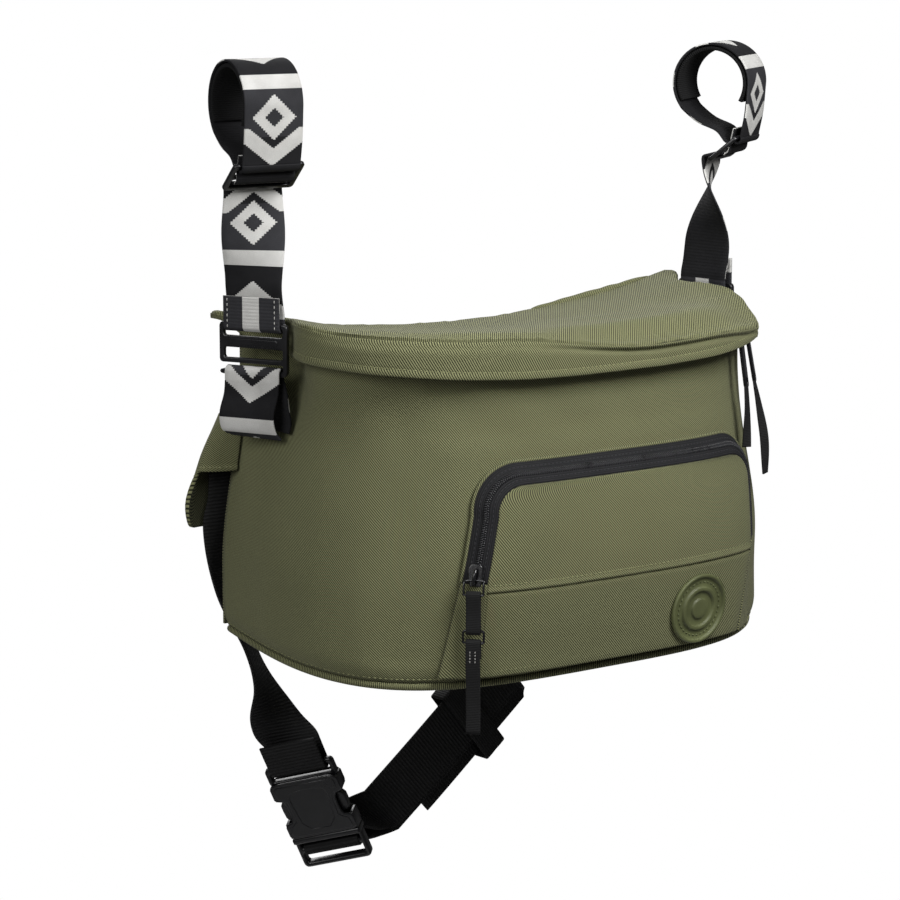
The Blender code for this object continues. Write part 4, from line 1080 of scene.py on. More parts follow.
def coil(name, path, finish):
    """Two meshed rows of beads along (point, across, out) triples. A bead's keys are its reach from
    the middle, its height and its slant."""
    points, faces = [], []
    spots = [Vector(point) for point, _, _ in path]
    total = running(spots)
    step = 0
    place = COIL_PITCH
    while place < total[-1] - COIL_PITCH:
        while step < len(total) - 2 and total[step + 1] < place:
            step += 1
        share = (place - total[step]) / max(1e-6, total[step + 1] - total[step])
        centre = spots[step].lerp(spots[step + 1], share)
        across = path[step][1].lerp(path[step + 1][1], share).normalized()
        out = path[step][2].lerp(path[step + 1][2], share).normalized()
        way = (spots[step + 1] - spots[step]).normalized()
        for side, shift in ((-1.0, 0.0), (1.0, COIL_PITCH / 2)):
            rings = []
            for over, high, skew in COIL_KEYS:
                middle = (centre + across * (side * over) + out * high
                          + way * (skew * COIL_PITCH + shift))
                rings.append([middle + (way * math.cos(turn) + out * math.sin(turn)) * COIL_RADIUS
                              for turn in THREAD_TURNS])
            add_bead(points, faces, rings)
        place += COIL_PITCH
    return make_piece(name, points, faces, [finish])


# %% Main zip under the lid
ZIP_INSET = 1.0
TAPE = 1.2


def main_zip_point(turn, share, lift):
    wide, deep = TOP_HALF_WIDTH - ZIP_INSET, TOP_DEPTH - ZIP_INSET
    x, y = crescent(turn, wide + lift, deep + lift, BODY_POWER)
    plain_x, plain_y = crescent(turn, wide, deep, BODY_POWER)
    low = top_edge(plain_x) + SEAT_GAP
    high = lid_height(plain_x, plain_y) - CLOTH - 2.5 * SEAT_GAP
    high -= EDGE_FALL * fallen(plain_x, plain_y)
    return pinched(x, y, mix(low, high, share))


zip_turns = [turn for turn in even_turns(240) if 0.02 < turn < 0.98]
main_tape = cloth_sheet("main_zip_tape", main_zip_point, zip_turns, spread(0.0, 1.0, 7), -TAPE, 0.0,
                        [zip_tape])
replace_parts(main_tape, "main_zip")

main_path = []
for turn in zip_turns:
    spot = Vector(main_zip_point(turn, 0.42, 0.0))
    out = (Vector(main_zip_point(turn, 0.42, 1.0)) - spot).normalized()
    main_path.append((spot, Vector((0.0, 0.0, 1.0)), out))
main_coil = coil("main_zip_coil", main_path, coil_plastic)

# %% [markdown]
# ## The front pocket
# The pocket is a flat patch with a zip that climbs over its edge, so the zip band is tilted: it rises
# from the wall to the pocket's face. The face is made of two panels that meet in a folded seam, and
# it swells a little, as a lined pocket does when it is empty.

# %% Pocket outline and zip band
POCKET_LEFT, POCKET_LEFT_FLARE, POCKET_RIGHT = -92.0, 21.6, 121.0
POCKET_TOP, POCKET_LOW, POCKET_CORNER = -204.0, -327.0, 29.0
POCKET_INSET, POCKET_LIFT, POCKET_DOME = 12.0, 10.0, 3.0
POCKET_SEAM, ZIP_END = -277.0, -271.0


def pocket_left(z):
    start = POCKET_TOP - POCKET_CORNER
    return POCKET_LEFT - POCKET_LEFT_FLARE * max(0.0, start - z) / (start - POCKET_LOW)


def pocket_sides(z, inset):
    """Left and right limits of the pocket at height z."""
    corner = POCKET_CORNER - inset
    above = z - (POCKET_TOP - POCKET_CORNER)
    cut = 0.0
    if above > 0.0:
        cut = corner - math.sqrt(max(0.0, corner * corner - above * above))
    return pocket_left(z) + inset + cut, POCKET_RIGHT - inset - cut


def pocket_path(inset, detail=1):
    """Zip line from the left lower end, over the top, to the right lower end."""
    corner = POCKET_CORNER - inset
    turn_z = POCKET_TOP - POCKET_CORNER
    count = 6 * detail
    path = [(pocket_left(z) + inset, z) for z in spread(ZIP_END, turn_z, count)[:-1]]
    centre, far = POCKET_LEFT + POCKET_CORNER, POCKET_RIGHT - POCKET_CORNER
    path += [(centre - corner * math.cos(a), turn_z + corner * math.sin(a))
             for a in spread(0.0, math.pi / 2, 8 * detail)]
    path += [(x, POCKET_TOP - inset) for x in spread(centre, far, 12 * detail)[1:-1]]
    path += [(far + corner * math.sin(a), turn_z + corner * math.cos(a))
             for a in spread(0.0, math.pi / 2, 8 * detail)]
    path += [(POCKET_RIGHT - inset, z) for z in spread(turn_z, ZIP_END, count)[1:]]
    return path


def band_lift(share):
    ridge = 0.35 * bump(share, 0.5, 0.2)
    return mix(FINE_CLOTH / 2 + SEAT_GAP, POCKET_LIFT, share ** 0.8) + ridge


band_outer, band_inner = pocket_path(0.0, 5), pocket_path(POCKET_INSET, 5)


def band_point(step, share, lift):
    x = mix(band_outer[step][0], band_inner[step][0], share)
    z = mix(band_outer[step][1], band_inner[step][1], share)
    return on_front(x, z, band_lift(share) + lift)


band_steps = list(range(len(band_outer)))
band_shares = spread(0.0, 1.0, 17)
pocket_tape = cloth_sheet("pocket_zip_tape", band_point, band_steps, band_shares, -TAPE / 2,
                          TAPE / 2, [zip_tape])
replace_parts(pocket_tape, "pocket_zip")

band_path = []
for step in band_steps:
    spot = band_point(step, 0.5, TAPE / 2)
    over = (band_point(step, 0.6, TAPE / 2) - band_point(step, 0.4, TAPE / 2)).normalized()
    ahead = band_point(min(step + 1, band_steps[-1]), 0.5, 0.0)
    behind = band_point(max(step - 1, 0), 0.5, 0.0)
    out = over.cross((ahead - behind).normalized())
    if out.dot(band_point(step, 0.5, 3.0) - spot) < 0.0:
        out = -out
    band_path.append((spot - out * 0.1, over, out))
pocket_coil = coil("pocket_zip_coil", band_path, coil_plastic)


def band_row(share, name, finish):
    rows = []
    for step in band_steps:
        spot = band_point(step, share, TAPE / 2)
        rows.append((spot, band_path[step][2]))
    return stitches(name, rows, finish, stitch=1.9, gap=0.8, radius=0.22)


band_row(0.24, "pocket_zip_stitches_out", grey_thread)
band_row(0.78, "pocket_zip_stitches_in", grey_thread)
print("pocket zip:", len(pocket_coil.data.polygons), "faces of coil")

# %% Binding round the pocket, where the wall's twill folds over the tape's edge
binding_path = []
for step in band_steps:
    binding_path.append(band_point(step, 0.0, 0.2) + (band_point(step, 0.0, 1.0)
                                                      - band_point(step, 0.0, 0.0)) * 0.2)
binding = rod("pocket_binding", binding_path, 1.0, [olive])

# %% Gussets and the two face panels
def gusset(name, side):
    def point_at(v, share, lift):
        z = mix(POCKET_LOW, ZIP_END - SEAT_GAP, v)
        spread_in = POCKET_INSET + 9.0 * (1.0 - v)
        left, right = pocket_sides(z, 0.0)
        x = left + spread_in * share if side < 0 else right - spread_in * share
        height = mix(FINE_CLOTH / 2 + SEAT_GAP, POCKET_LIFT * mix(0.75, 1.0, v), share ** 0.8)
        fold = 0.3 * bump(share, 0.62, 0.12) - 0.5 * bump(share, 0.36, 0.14)
        tuck = 0.2 * ripple(x, z, 0.0, 9.0, 21) - 0.55
        return on_front(x, z, height + lift + (fold + tuck) * math.sin(math.pi * share))
    made = cloth_sheet(name, point_at, spread(0.0, 1.0, 40), spread(0.0, 1.0, 20),
                       -FINE_CLOTH / 2, FINE_CLOTH / 2, [olive], turned=True)
    return made


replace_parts(gusset("pocket_side_left", -1), "pocket_gusset_left")
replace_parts(gusset("pocket_side_right", 1), "pocket_gusset_right")


def pocket_face(x, z):
    across = 1.0 - min(1.0, ((x - (POCKET_LEFT + POCKET_RIGHT) / 2) / 100.0) ** 2)
    upright = 1.0 - min(1.0, ((z + 268.0) / 62.0) ** 2)
    tuck = 0.25 * POCKET_LIFT * ease((ZIP_END - z) / (ZIP_END - POCKET_LOW))
    return POCKET_LIFT + POCKET_DOME * across * upright - tuck


def face_panel(name, low, high, rows, folded):
    """One panel of the pocket's face; folded turns its upper or lower edge under at the seam."""
    def point_at(u, z, lift):
        inset = POCKET_INSET + SEAT_GAP
        if z < ZIP_END:
            inset += 9.0 * (ZIP_END - z) / (ZIP_END - POCKET_LOW)
        left, right = pocket_sides(z, inset)
        x = mix(left, right, u)
        rim = min(1.0, u / 0.03, (1.0 - u) / 0.03)
        soft = 0.5 * ripple(x, z, 0.0, 42.0, 22) + 0.22 * ripple(x, z, 0.0, 15.0, 23)
        seam = abs(z - POCKET_SEAM)
        fold = 1.15 * bump(seam, 1.6, 1.5) if folded else 0.1 * bump(seam, 2.6, 1.8)
        dip = -0.5 * bump(seam, 0.0, 1.1)
        foot = -0.35 * bump(z, low, 2.0) if low == POCKET_LOW else 0.0
        edge = 0.4 * (1.0 - rim)
        out = (soft * rim - 0.35) + fold + dip + foot - edge if lift > 0.0 else 0.0
        return on_front(x, z, pocket_face(x, z) + lift + out)
    made = cloth_sheet(name, point_at, spread(0.0, 1.0, 150), spread(low, high, rows),
                       -FINE_CLOTH / 2, FINE_CLOTH / 2, [olive, olive_inside_shade])
    return made


upper_face = face_panel("pocket_face_upper", POCKET_SEAM + SEAT_GAP,
                        POCKET_TOP - POCKET_INSET - SEAT_GAP, 60, True)
lower_face = face_panel("pocket_face_lower", POCKET_LOW, POCKET_SEAM, 48, False)
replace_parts(upper_face, "pocket_panel_upper")
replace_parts(lower_face, "pocket_panel_lower")


def face_row(z, name, lift, low_u=0.015, high_u=0.985):
    rows = []
    for u in spread(low_u, high_u, 130):
        left, right = pocket_sides(z, POCKET_INSET + SEAT_GAP)
        x = mix(left, right, u)
        spot = on_front(x, z, pocket_face(x, z) + lift)
        rows.append((spot, on_front(x, z, 20.0) - on_front(x, z, 0.0)))
    return stitches(name, rows, olive_thread_and_highlight)


face_row(POCKET_SEAM + 4.6, "pocket_seam_stitches", FINE_CLOTH / 2 - 0.3)
face_row(POCKET_LOW + 3.5, "pocket_foot_stitches", FINE_CLOTH / 2 - 0.75, 0.05, 0.95)
print("pocket face:", len(upper_face.data.polygons) + len(lower_face.data.polygons), "faces")

# %% [markdown]
# ## The rubber badge
# A round moulded patch is glued and sewn to the pocket. It could be a flat disc with a picture on
# it, but rubber shows its relief, so its section is turned round its middle like a potter's bowl and
# laid on the curve of the pocket. It has a raised rim, a ring of dashes and two plain raised rings.

# %% Badge
BADGE_X, BADGE_Z, BADGE_RADIUS = 61.0, -305.0, 21.5


def badge_ring(radius, lift):
    ring = []
    for turn in spread(0.0, math.tau, 97)[:-1]:
        x = BADGE_X + radius * math.cos(turn)
        z = BADGE_Z + radius * math.sin(turn)
        ring.append(on_front(x, z, pocket_face(x, z) + lift))
    return ring


BADGE_SEAT = FINE_CLOTH / 2 + SEAT_GAP
badge_profile = [(0.4, 0.0), (12.0, 0.0), (BADGE_RADIUS - 0.4, 0.0), (BADGE_RADIUS, 0.35)]
badge_profile += [(BADGE_RADIUS, 1.7), (BADGE_RADIUS - 0.3, 2.2), (BADGE_RADIUS - 0.8, 2.4)]
badge_profile += [(BADGE_RADIUS - 1.7, 2.4), (BADGE_RADIUS - 2.1, 2.1), (BADGE_RADIUS - 2.4, 1.0)]
badge_profile += [(BADGE_RADIUS - 2.7, 0.8), (13.9, 0.8), (13.6, 1.0), (13.3, 2.1), (12.9, 2.3)]
badge_profile += [(11.4, 2.3), (11.0, 2.1), (10.7, 1.0), (10.4, 0.8), (6.6, 0.8), (6.3, 1.0)]
badge_profile += [(6.0, 1.9), (5.6, 2.1), (3.0, 2.15), (0.4, 2.2)]
badge = skin("round_badge", [badge_ring(radius, BADGE_SEAT + lift) for radius, lift in badge_profile],
             [badge_rubber])
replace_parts(badge, "badge_patch")

dash_ring = []
for turn in spread(0.0, math.tau, 120):
    x = BADGE_X + (BADGE_RADIUS - 5.0) * math.cos(turn)
    z = BADGE_Z + (BADGE_RADIUS - 5.0) * math.sin(turn)
    spot = on_front(x, z, pocket_face(x, z) + BADGE_SEAT + 0.9)
    dash_ring.append((spot, on_front(x, z, 20.0) - on_front(x, z, 0.0)))
badge_dashes = stitches("badge_dashes", dash_ring, badge_rubber, stitch=1.9, gap=1.2, radius=0.45)
print("badge:", len(badge.data.polygons), "faces")

# %% [markdown]
# ## Wings
# At each back corner a sleeve of twill takes the end of the waist webbing, so that the belt can be
# tucked away. It is an open tube with a hemmed mouth. A closed shape would hide the webbing, so each
# wing is a bent sheet that stands off the body, with a rolled hem along its open edge.

# %% Wings from the solids' own section
WING_TOP, WING_LOW_BACK, WING_LOW_FRONT, WING_SWELL = -188.0, -256.0, -220.0, 5.0
WING_SECTION = ((-38.0, -38.0, 45.5, 45.5), (-32.5, -33.5, 50.2, 51.6), (-4.0, 0.0, 50.4, 51.8),
                (6.0, 15.0, 50.0, 51.0), (8.6, 23.5, 45.5, 46.5), (8.8, 24.5, 40.5, 40.5),
                (7.0, 19.0, 36.5, 35.5), (3.6, 9.0, 33.5, 32.0), (1.4, 1.4, 32.0, 30.5))
WING_WIDEST = 24.5
wing_section = curve_through(list(WING_SECTION), 7)
WING_LAST = len(WING_SECTION) - 1


def wing(name, side):
    last = len(wing_section) - 1

    def centre(step, z, share):
        top_reach, low_reach, top_y, low_y = wing_section[step]
        reach = mix(low_reach, top_reach, share)
        reach += WING_SWELL * math.sin(math.pi * share) * max(0.0, low_reach) / WING_WIDEST
        return half_width(z) + reach, mix(low_y, top_y, share)

    def point_at(step, v, lift):
        coarse = step / 7.0
        low = mix(WING_LOW_BACK, WING_LOW_FRONT, ease((coarse - 3.0) / 2.0))
        z = mix(low, WING_TOP, v)
        share = (z - WING_LOW_BACK) / (WING_TOP - WING_LOW_BACK)
        x, y = centre(step, z, share)
        next_x, next_y = centre(min(step + 1, last), z, share)
        past_x, past_y = centre(max(step - 1, 0), z, share)
        size = math.hypot(next_x - past_x, next_y - past_y)
        out_x, out_y = -(next_y - past_y) / size, (next_x - past_x) / size
        free = ease((coarse - 2.0) / 2.0) * ease((WING_LAST - coarse) / 1.5)
        above = z - low
        hem = 0.75 * bump(above, 1.6, 1.7) - 0.3 * bump(above, 4.2, 0.9)
        soft = 0.8 * ripple(x, y, z, 19.0, 31 + side) * free
        lift = lift + (hem + soft if lift > 0.0 else soft - hem * 0.5)
        return side * (x + out_x * lift), y + out_y * lift, z

    steps = list(range(last + 1))
    made = cloth_sheet(name, point_at, steps, spread(0.0, 1.0, 46), -0.9, 0.9, [olive, olive_inside_shade])
    row = []
    for step in steps[14:-3]:
        spot = Vector(point_at(step, 0.08, 0.95))
        row.append((spot, Vector(point_at(step, 0.08, 2.0)) - spot))
    stitches(name + "_stitches", row, olive_thread_and_highlight)
    return made


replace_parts(wing("left_wing", -1), "wing_left")
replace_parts(wing("right_wing", 1), "wing_right")
print("wing section points:", len(wing_section))

# %% [markdown]
# ## The straps
# Each strap is one length of webbing: its sewn end folds round the hook's bar, it runs up to the
# glide, round the loop, and back to the glide's upper bar. Woven tape bends only across its face, so
# every piece of it is a ribbon whose width direction turns slowly, never a bent box. The pattern
# shows on the outside of the run and of the loop. The webbing turns over inside the glide, so the
# patterned side and the black side change places on the ribbon there.

# %% Strap geometry shared by both sides
STRAP_THICK, BELT_THICK = 1.6, 1.8
FRAME_OUTER, FRAME_INNER = STRAP_WIDTH / 2 + 4.0, STRAP_WIDTH / 2 + 0.8
FOLD_RADIUS = 3.1
LOOP_RADIUS, LINING_THICK = 20.5, 2.4
GLIDE_CENTRE, GLIDE_TILT, GLIDE_BAR = (9.5, -41.0), math.radians(40.0), 10.5
HOOK_TOP, HOOK_ANCHOR, ANCHOR_Y = -129.0, -157.0, 2.0
RING_RADIUS = LOOP_RADIUS + SEAT_GAP + LINING_THICK + SEAT_GAP + STRAP_THICK / 2 + 0.4
UP = Vector((0.0, 0.0, 1.0))


def facing(turn):
    """Width direction and outward direction for level webbing turned about the vertical."""
    return (Vector((math.cos(turn), math.sin(turn), 0.0)),
            Vector((math.sin(turn), -math.cos(turn), 0.0)))


def glide_spot(along, off):
    """Point in the glide's own plane, as (outward, height)."""
    q, z = GLIDE_CENTRE
    return (q + along * math.cos(GLIDE_TILT) - off * math.sin(GLIDE_TILT),
            z + along * math.sin(GLIDE_TILT) + off * math.cos(GLIDE_TILT))


def loop_profile():
    """Strap in (outward, height) from behind the glide's lower bar round the loop."""
    profile = [glide_spot(-GLIDE_BAR - 4.0, 4.6), glide_spot(-GLIDE_BAR, 3.1),
               glide_spot(-GLIDE_BAR / 2, 0.0), glide_spot(-2.0, -2.9), glide_spot(1.5, -2.9),
               glide_spot(GLIDE_BAR / 2 - 1.0, 0.2), glide_spot(3.4, 4.0), (4.0, -29.5),
               (-8.0, -24.5)]
    profile += [(RING_RADIUS * math.cos(a), RING_RADIUS * math.sin(a))
                for a in spread(math.radians(225.0), math.radians(-8.0), 22)]
    upper = glide_spot(GLIDE_BAR, 0.0)
    profile.append((upper[0] + 5.6, upper[1] + 15.0))
    profile += [(upper[0] + 3.3 * math.cos(a), upper[1] + 3.3 * math.sin(a))
                for a in spread(math.radians(25.0), math.radians(-165.0), 8)]
    profile.append((upper[0] - 1.7, upper[1] + 6.0))
    return profile


def smooth_path(path, steps=3):
    """Finer path through (centre, width direction) pairs."""
    keys = [(Vector(centre), Vector(across)) for centre, across in path]
    return [(centre, across) for centre, across in curve_through(keys, steps)]


def webbing_row(path, offset, lift, name, finish):
    """A row of stitches that follows a webbing at a distance from its middle."""
    row = []
    for index, (centre, across) in enumerate(path):
        ahead = path[min(index + 1, len(path) - 1)][0] - path[max(index - 1, 0)][0]
        side = across.normalized()
        face = ahead.normalized().cross(side).normalized() * -1.0
        row.append((centre + side * offset + face * lift, face * math.copysign(1.0, lift)))
    return stitches(name, row, finish, stitch=2.0, gap=1.1, radius=0.26)


print("loop radius of the strap:", round(RING_RADIUS, 2))


# %% Hooks, glides and anchor loops
def gate_hook(name, centre, across):
    """Flat moulded hook: bar for the webbing, wide middle bar, and an open lower bar."""
    outer, inner = FRAME_OUTER, FRAME_INNER
    top, low = HOOK_TOP + 1.5, HOOK_ANCHOR - 1.5
    body = [(-outer + 2.2, top), (-outer + 0.7, top - 0.7), (-outer, top - 2.4)]
    body += [(-outer, -149.4), (-outer + 0.6, -150.9), (-outer + 2.0, -151.5)]
    body += [(inner - 1.2, -151.5), (inner, -152.3), (inner, HOOK_ANCHOR + 2.2),
             (inner - 0.8, HOOK_ANCHOR + 1.5)]
    body += [(-inner + 1.5, HOOK_ANCHOR + 1.5), (-outer + 2.4, HOOK_ANCHOR + 1.7),
             (-outer + 0.8, HOOK_ANCHOR + 1.2), (-outer, HOOK_ANCHOR), (-outer + 0.8, low + 0.4),
             (-outer + 2.6, low)]
    body += [(outer - 3.0, low), (outer - 1.0, low + 0.9), (outer, low + 3.0)]
    body += [(outer, top - 2.4), (outer - 0.7, top - 0.7), (outer - 2.2, top)]
    window = rounded_box((-inner, -135.5), (inner, HOOK_TOP - 1.5), 1.4)
    slot = rounded_box((-inner, -148.5), (inner, -142.5), 1.4)
    placing = standing(centre, across, UP)
    made = cast_plate(name, [body, window, slot], 3.2, placing, plastic, edge=0.75)
    raised = rounded_box((-inner + 3.0, -141.2), (inner - 3.0, -136.9), 1.6)
    for face in (-1.0, 1.0):
        lifted = placing @ Matrix.Translation((0.0, 0.0, 1.45 * MM * face))
        ridge = cast_plate(name + ("_ridge_back" if face < 0.0 else "_ridge_front"), [raised], 1.2,
                           lifted, plastic, edge=0.5)
    return made


def tri_glide(name, centre, across, up):
    """Frame with a middle bar that the webbing weaves through."""
    outer, inner = FRAME_OUTER, FRAME_INNER
    tall = GLIDE_BAR + 1.5
    frame_line = rounded_box((-outer, -tall), (outer, tall), 2.6)
    low_window = rounded_box((-inner, -tall + 3.0), (inner, -1.5), 1.3)
    high_window = rounded_box((-inner, 1.5), (inner, tall - 3.0), 1.3)
    made = cast_plate(name, [frame_line, low_window, high_window], 2.6, standing(centre, across, up),
                      plastic, edge=0.85)
    return made


def anchor_loop(name, side, gap, hook, hook_across):
    """Short sewn loop on the bag's side, round the hook's open bar."""
    wall_across = Vector((0.0, 1.0, 0.0))
    if hook_across.dot(wall_across) < 0.0:
        wall_across = -wall_across
    bar = hook + Vector((0.0, 0.0, HOOK_ANCHOR))
    bar_out = UP.cross(hook_across)
    if bar_out.x * side < 0.0:
        bar_out = -bar_out

    def wall(z, reach):
        widest = 0.0
        for y in spread(ANCHOR_Y - STRAP_WIDTH / 2, ANCHOR_Y + STRAP_WIDTH / 2, 5):
            share = (Y_BACK - y) / depth(z)
            x = half_width(z) * (1.0 - share ** BODY_POWER) ** (1.0 / BODY_POWER)
            widest = max(widest, pinched(x, y, z)[0])
        return Vector((side * (widest + reach), ANCHOR_Y, z))

    below = Vector((0.0, 0.0, -4.0))
    seat = STRAP_THICK / 2 + gap
    path = [(wall(bar.z - 35.0, seat), wall_across), (wall(bar.z - 29.0, seat + 0.4), wall_across),
            (wall(bar.z - 20.0, 4.5), wall_across), (bar - bar_out * FOLD_RADIUS + below, hook_across)]
    for turn in spread(-math.pi, 0.0, 8):
        spot = bar + bar_out * (FOLD_RADIUS * math.cos(turn)) - UP * (FOLD_RADIUS * math.sin(turn))
        path.append((spot, hook_across))
    keys = [(bar + bar_out * FOLD_RADIUS + below, hook_across), (wall(bar.z - 13.0, 20.5), hook_across),
            (wall(bar.z - 24.0, 21.5), hook_across), (wall(bar.z - 33.5, 17.5), hook_across),
            (wall(bar.z - 38.0, 10.5), hook_across.lerp(wall_across, 0.3))]
    path += curve_through(keys, 4)
    fine = smooth_path(path, 4)
    made = webbing(name, fine, STRAP_WIDTH - 1.0, STRAP_THICK, [anchor_cloth], face_from=0)
    return made


def sewn_end(at_hook, hook_across):
    """The webbing's end, folded round the hook's upper bar."""
    path = [(at_hook(FOLD_RADIUS, HOOK_TOP + 17.0), hook_across),
            (at_hook(FOLD_RADIUS, HOOK_TOP + 8.0), hook_across)]
    path += [(at_hook(FOLD_RADIUS * math.cos(a), HOOK_TOP + FOLD_RADIUS * math.sin(a)), hook_across)
             for a in spread(0.0, -math.pi, 7)]
    path += [(at_hook(-FOLD_RADIUS, HOOK_TOP + 6.0), hook_across),
             (at_hook(-1.2, HOOK_TOP + 14.0), hook_across),
             (at_hook(0.0, HOOK_TOP + 22.0), hook_across)]
    return path


def loop_padding(name, in_loop, across):
    """Soft lining inside the loop."""
    radius = LOOP_RADIUS + SEAT_GAP + LINING_THICK / 2
    lining = [(in_loop(radius * math.cos(a), radius * math.sin(a)), across)
              for a in spread(math.radians(210.0), math.radians(-30.0), 90)]
    pad = webbing("loop_padding_" + name, lining, STRAP_WIDTH - 1.0, LINING_THICK, [lining_black],
                  edge=0.9)
    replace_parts(pad, "loop_lining_" + name)


def strap(side, name, loop_x, loop_turn, hook_spot, hook_turn, anchor_gap):
    """One strap with its fittings; the two turns face its loop and its hook."""
    across, out = facing(loop_turn)
    loop_centre = Vector((loop_x, 0.0, 0.0))
    hook_across, hook_out = facing(hook_turn)
    hook = Vector((*hook_spot, 0.0))

    def in_loop(q, z):
        return loop_centre + out * q + UP * z

    def at_hook(q, z):
        return hook + hook_out * q + UP * z

    path = sewn_end(at_hook, hook_across)
    start = in_loop(*loop_profile()[0])
    low = path[-1][0]
    for share in spread(0.0, 1.0, 10)[1:-1]:
        path.append((low.lerp(start, share), facing(mix(hook_turn, loop_turn, ease(share)))[0]))
    path += [(in_loop(q, z), across) for q, z in loop_profile()]
    fine = smooth_path(path, 5)
    glide_step = 5 * (len(path) - len(loop_profile()) + 3)
    web = webbing("strap_" + name, fine, STRAP_WIDTH, STRAP_THICK, [strap_cloth],
                  face_from=glide_step)
    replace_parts(web, "strap_web_" + name)
    loop_padding(name, in_loop, across)
    up = out * math.cos(GLIDE_TILT) + UP * math.sin(GLIDE_TILT)
    glide = tri_glide("glide_" + name, in_loop(*GLIDE_CENTRE), across, up)
    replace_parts(glide, "tri_glide_" + name)
    hooked = gate_hook("hook_" + name, hook, hook_across)
    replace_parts(hooked, "gate_hook_" + name)
    held = anchor_loop("side_loop_" + name, side, anchor_gap, hook, hook_across)
    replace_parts(held, "anchor_loop_" + name)
    fold, aside = fine[:14], STRAP_WIDTH / 2 - 2.9
    webbing_row(fold, aside, -STRAP_THICK / 2, "fold_stitches_a_" + name, pale_thread)
    webbing_row(fold, -aside, -STRAP_THICK / 2, "fold_stitches_b_" + name, pale_thread)
    return fine


left_path = strap(-1, "left", -169.0, math.radians(-6.0), (-170.5, 2.0), math.radians(-60.0), -0.2)
strap(1, "right", 178.0, math.radians(32.0), (171.0, 2.0), math.radians(100.0), 0.5)
print("strap length in mm:", round(running([spot for spot, _ in left_path])[-1]))

# %% [markdown]
# ## Waist belt and buckle
# The belt hangs in a loose V below the bag, and its two ends meet in a side-release buckle. The
# right end is long: it wraps round the buckle's bar, runs back and is folded up inside an elastic
# keeper. The buckle's two halves are moulded with rounded edges and shallow hollows.

# %% Buckle frame and belt paths
BUCKLE_TOP, BUCKLE_END = Vector((-119.6, 40.0, -411.0)), Vector((-88.9, 40.0, -479.4))
VIEW_SIDE = Vector((-0.78, -0.62, 0.0))
SOCKET_LENGTH, BUCKLE_HALF = 51.0, 23.0
TAIL_SLIP, TAIL_FOLD_X, TAIL_END_X, KEEPER_X = 12.0, 52.0, -28.0, 16.0
buckle_up = (BUCKLE_TOP - BUCKLE_END).normalized()
buckle_face = (VIEW_SIDE - buckle_up * VIEW_SIDE.dot(buckle_up)).normalized()
buckle_across = buckle_up.cross(buckle_face)
buckle_back = buckle_up.cross(buckle_across)
plug_base = -SOCKET_LENGTH - SEAT_GAP


def in_wing(side, inset, y, z):
    """Spot of the belt inside a wing, measured inwards from the side of the body."""
    return Vector((side * (half_width(z) - inset), y, z))


def belt_left():
    bar = BUCKLE_TOP - buckle_up * 1.75
    radius = 4.0
    keys = [(in_wing(-1, 7.9, 47.6, -222.0), facing(0.0)[0]),
            (in_wing(-1, 9.8, 47.6, -238.0), facing(0.0)[0]),
            (in_wing(-1, 8.7, 48.4, -258.0), facing(math.radians(4.0))[0])]
    for x, y, z, turn in ((-154.0, 61.0, -300.0, 34.0), (-143.0, 58.0, -335.0, 52.0),
                          (-139.0, 49.0, -358.0, 44.0), (-131.0, 47.0, -382.0, 2.0)):
        keys.append((Vector((x, y, z)), facing(math.radians(turn))[0]))
    keys.append((bar + buckle_back * (radius + 0.5) + buckle_up * 14.0, buckle_across))
    path = curve_through(keys, 12)
    path += [(bar + buckle_back * (radius * math.cos(a)) + buckle_up * (radius * math.sin(a)),
              buckle_across) for a in spread(0.0, -math.pi, 16)]
    path += [(bar - buckle_back * radius + buckle_up * rise, buckle_across)
             for rise in (4.0, 8.0, 13.0, 19.0)]
    return path


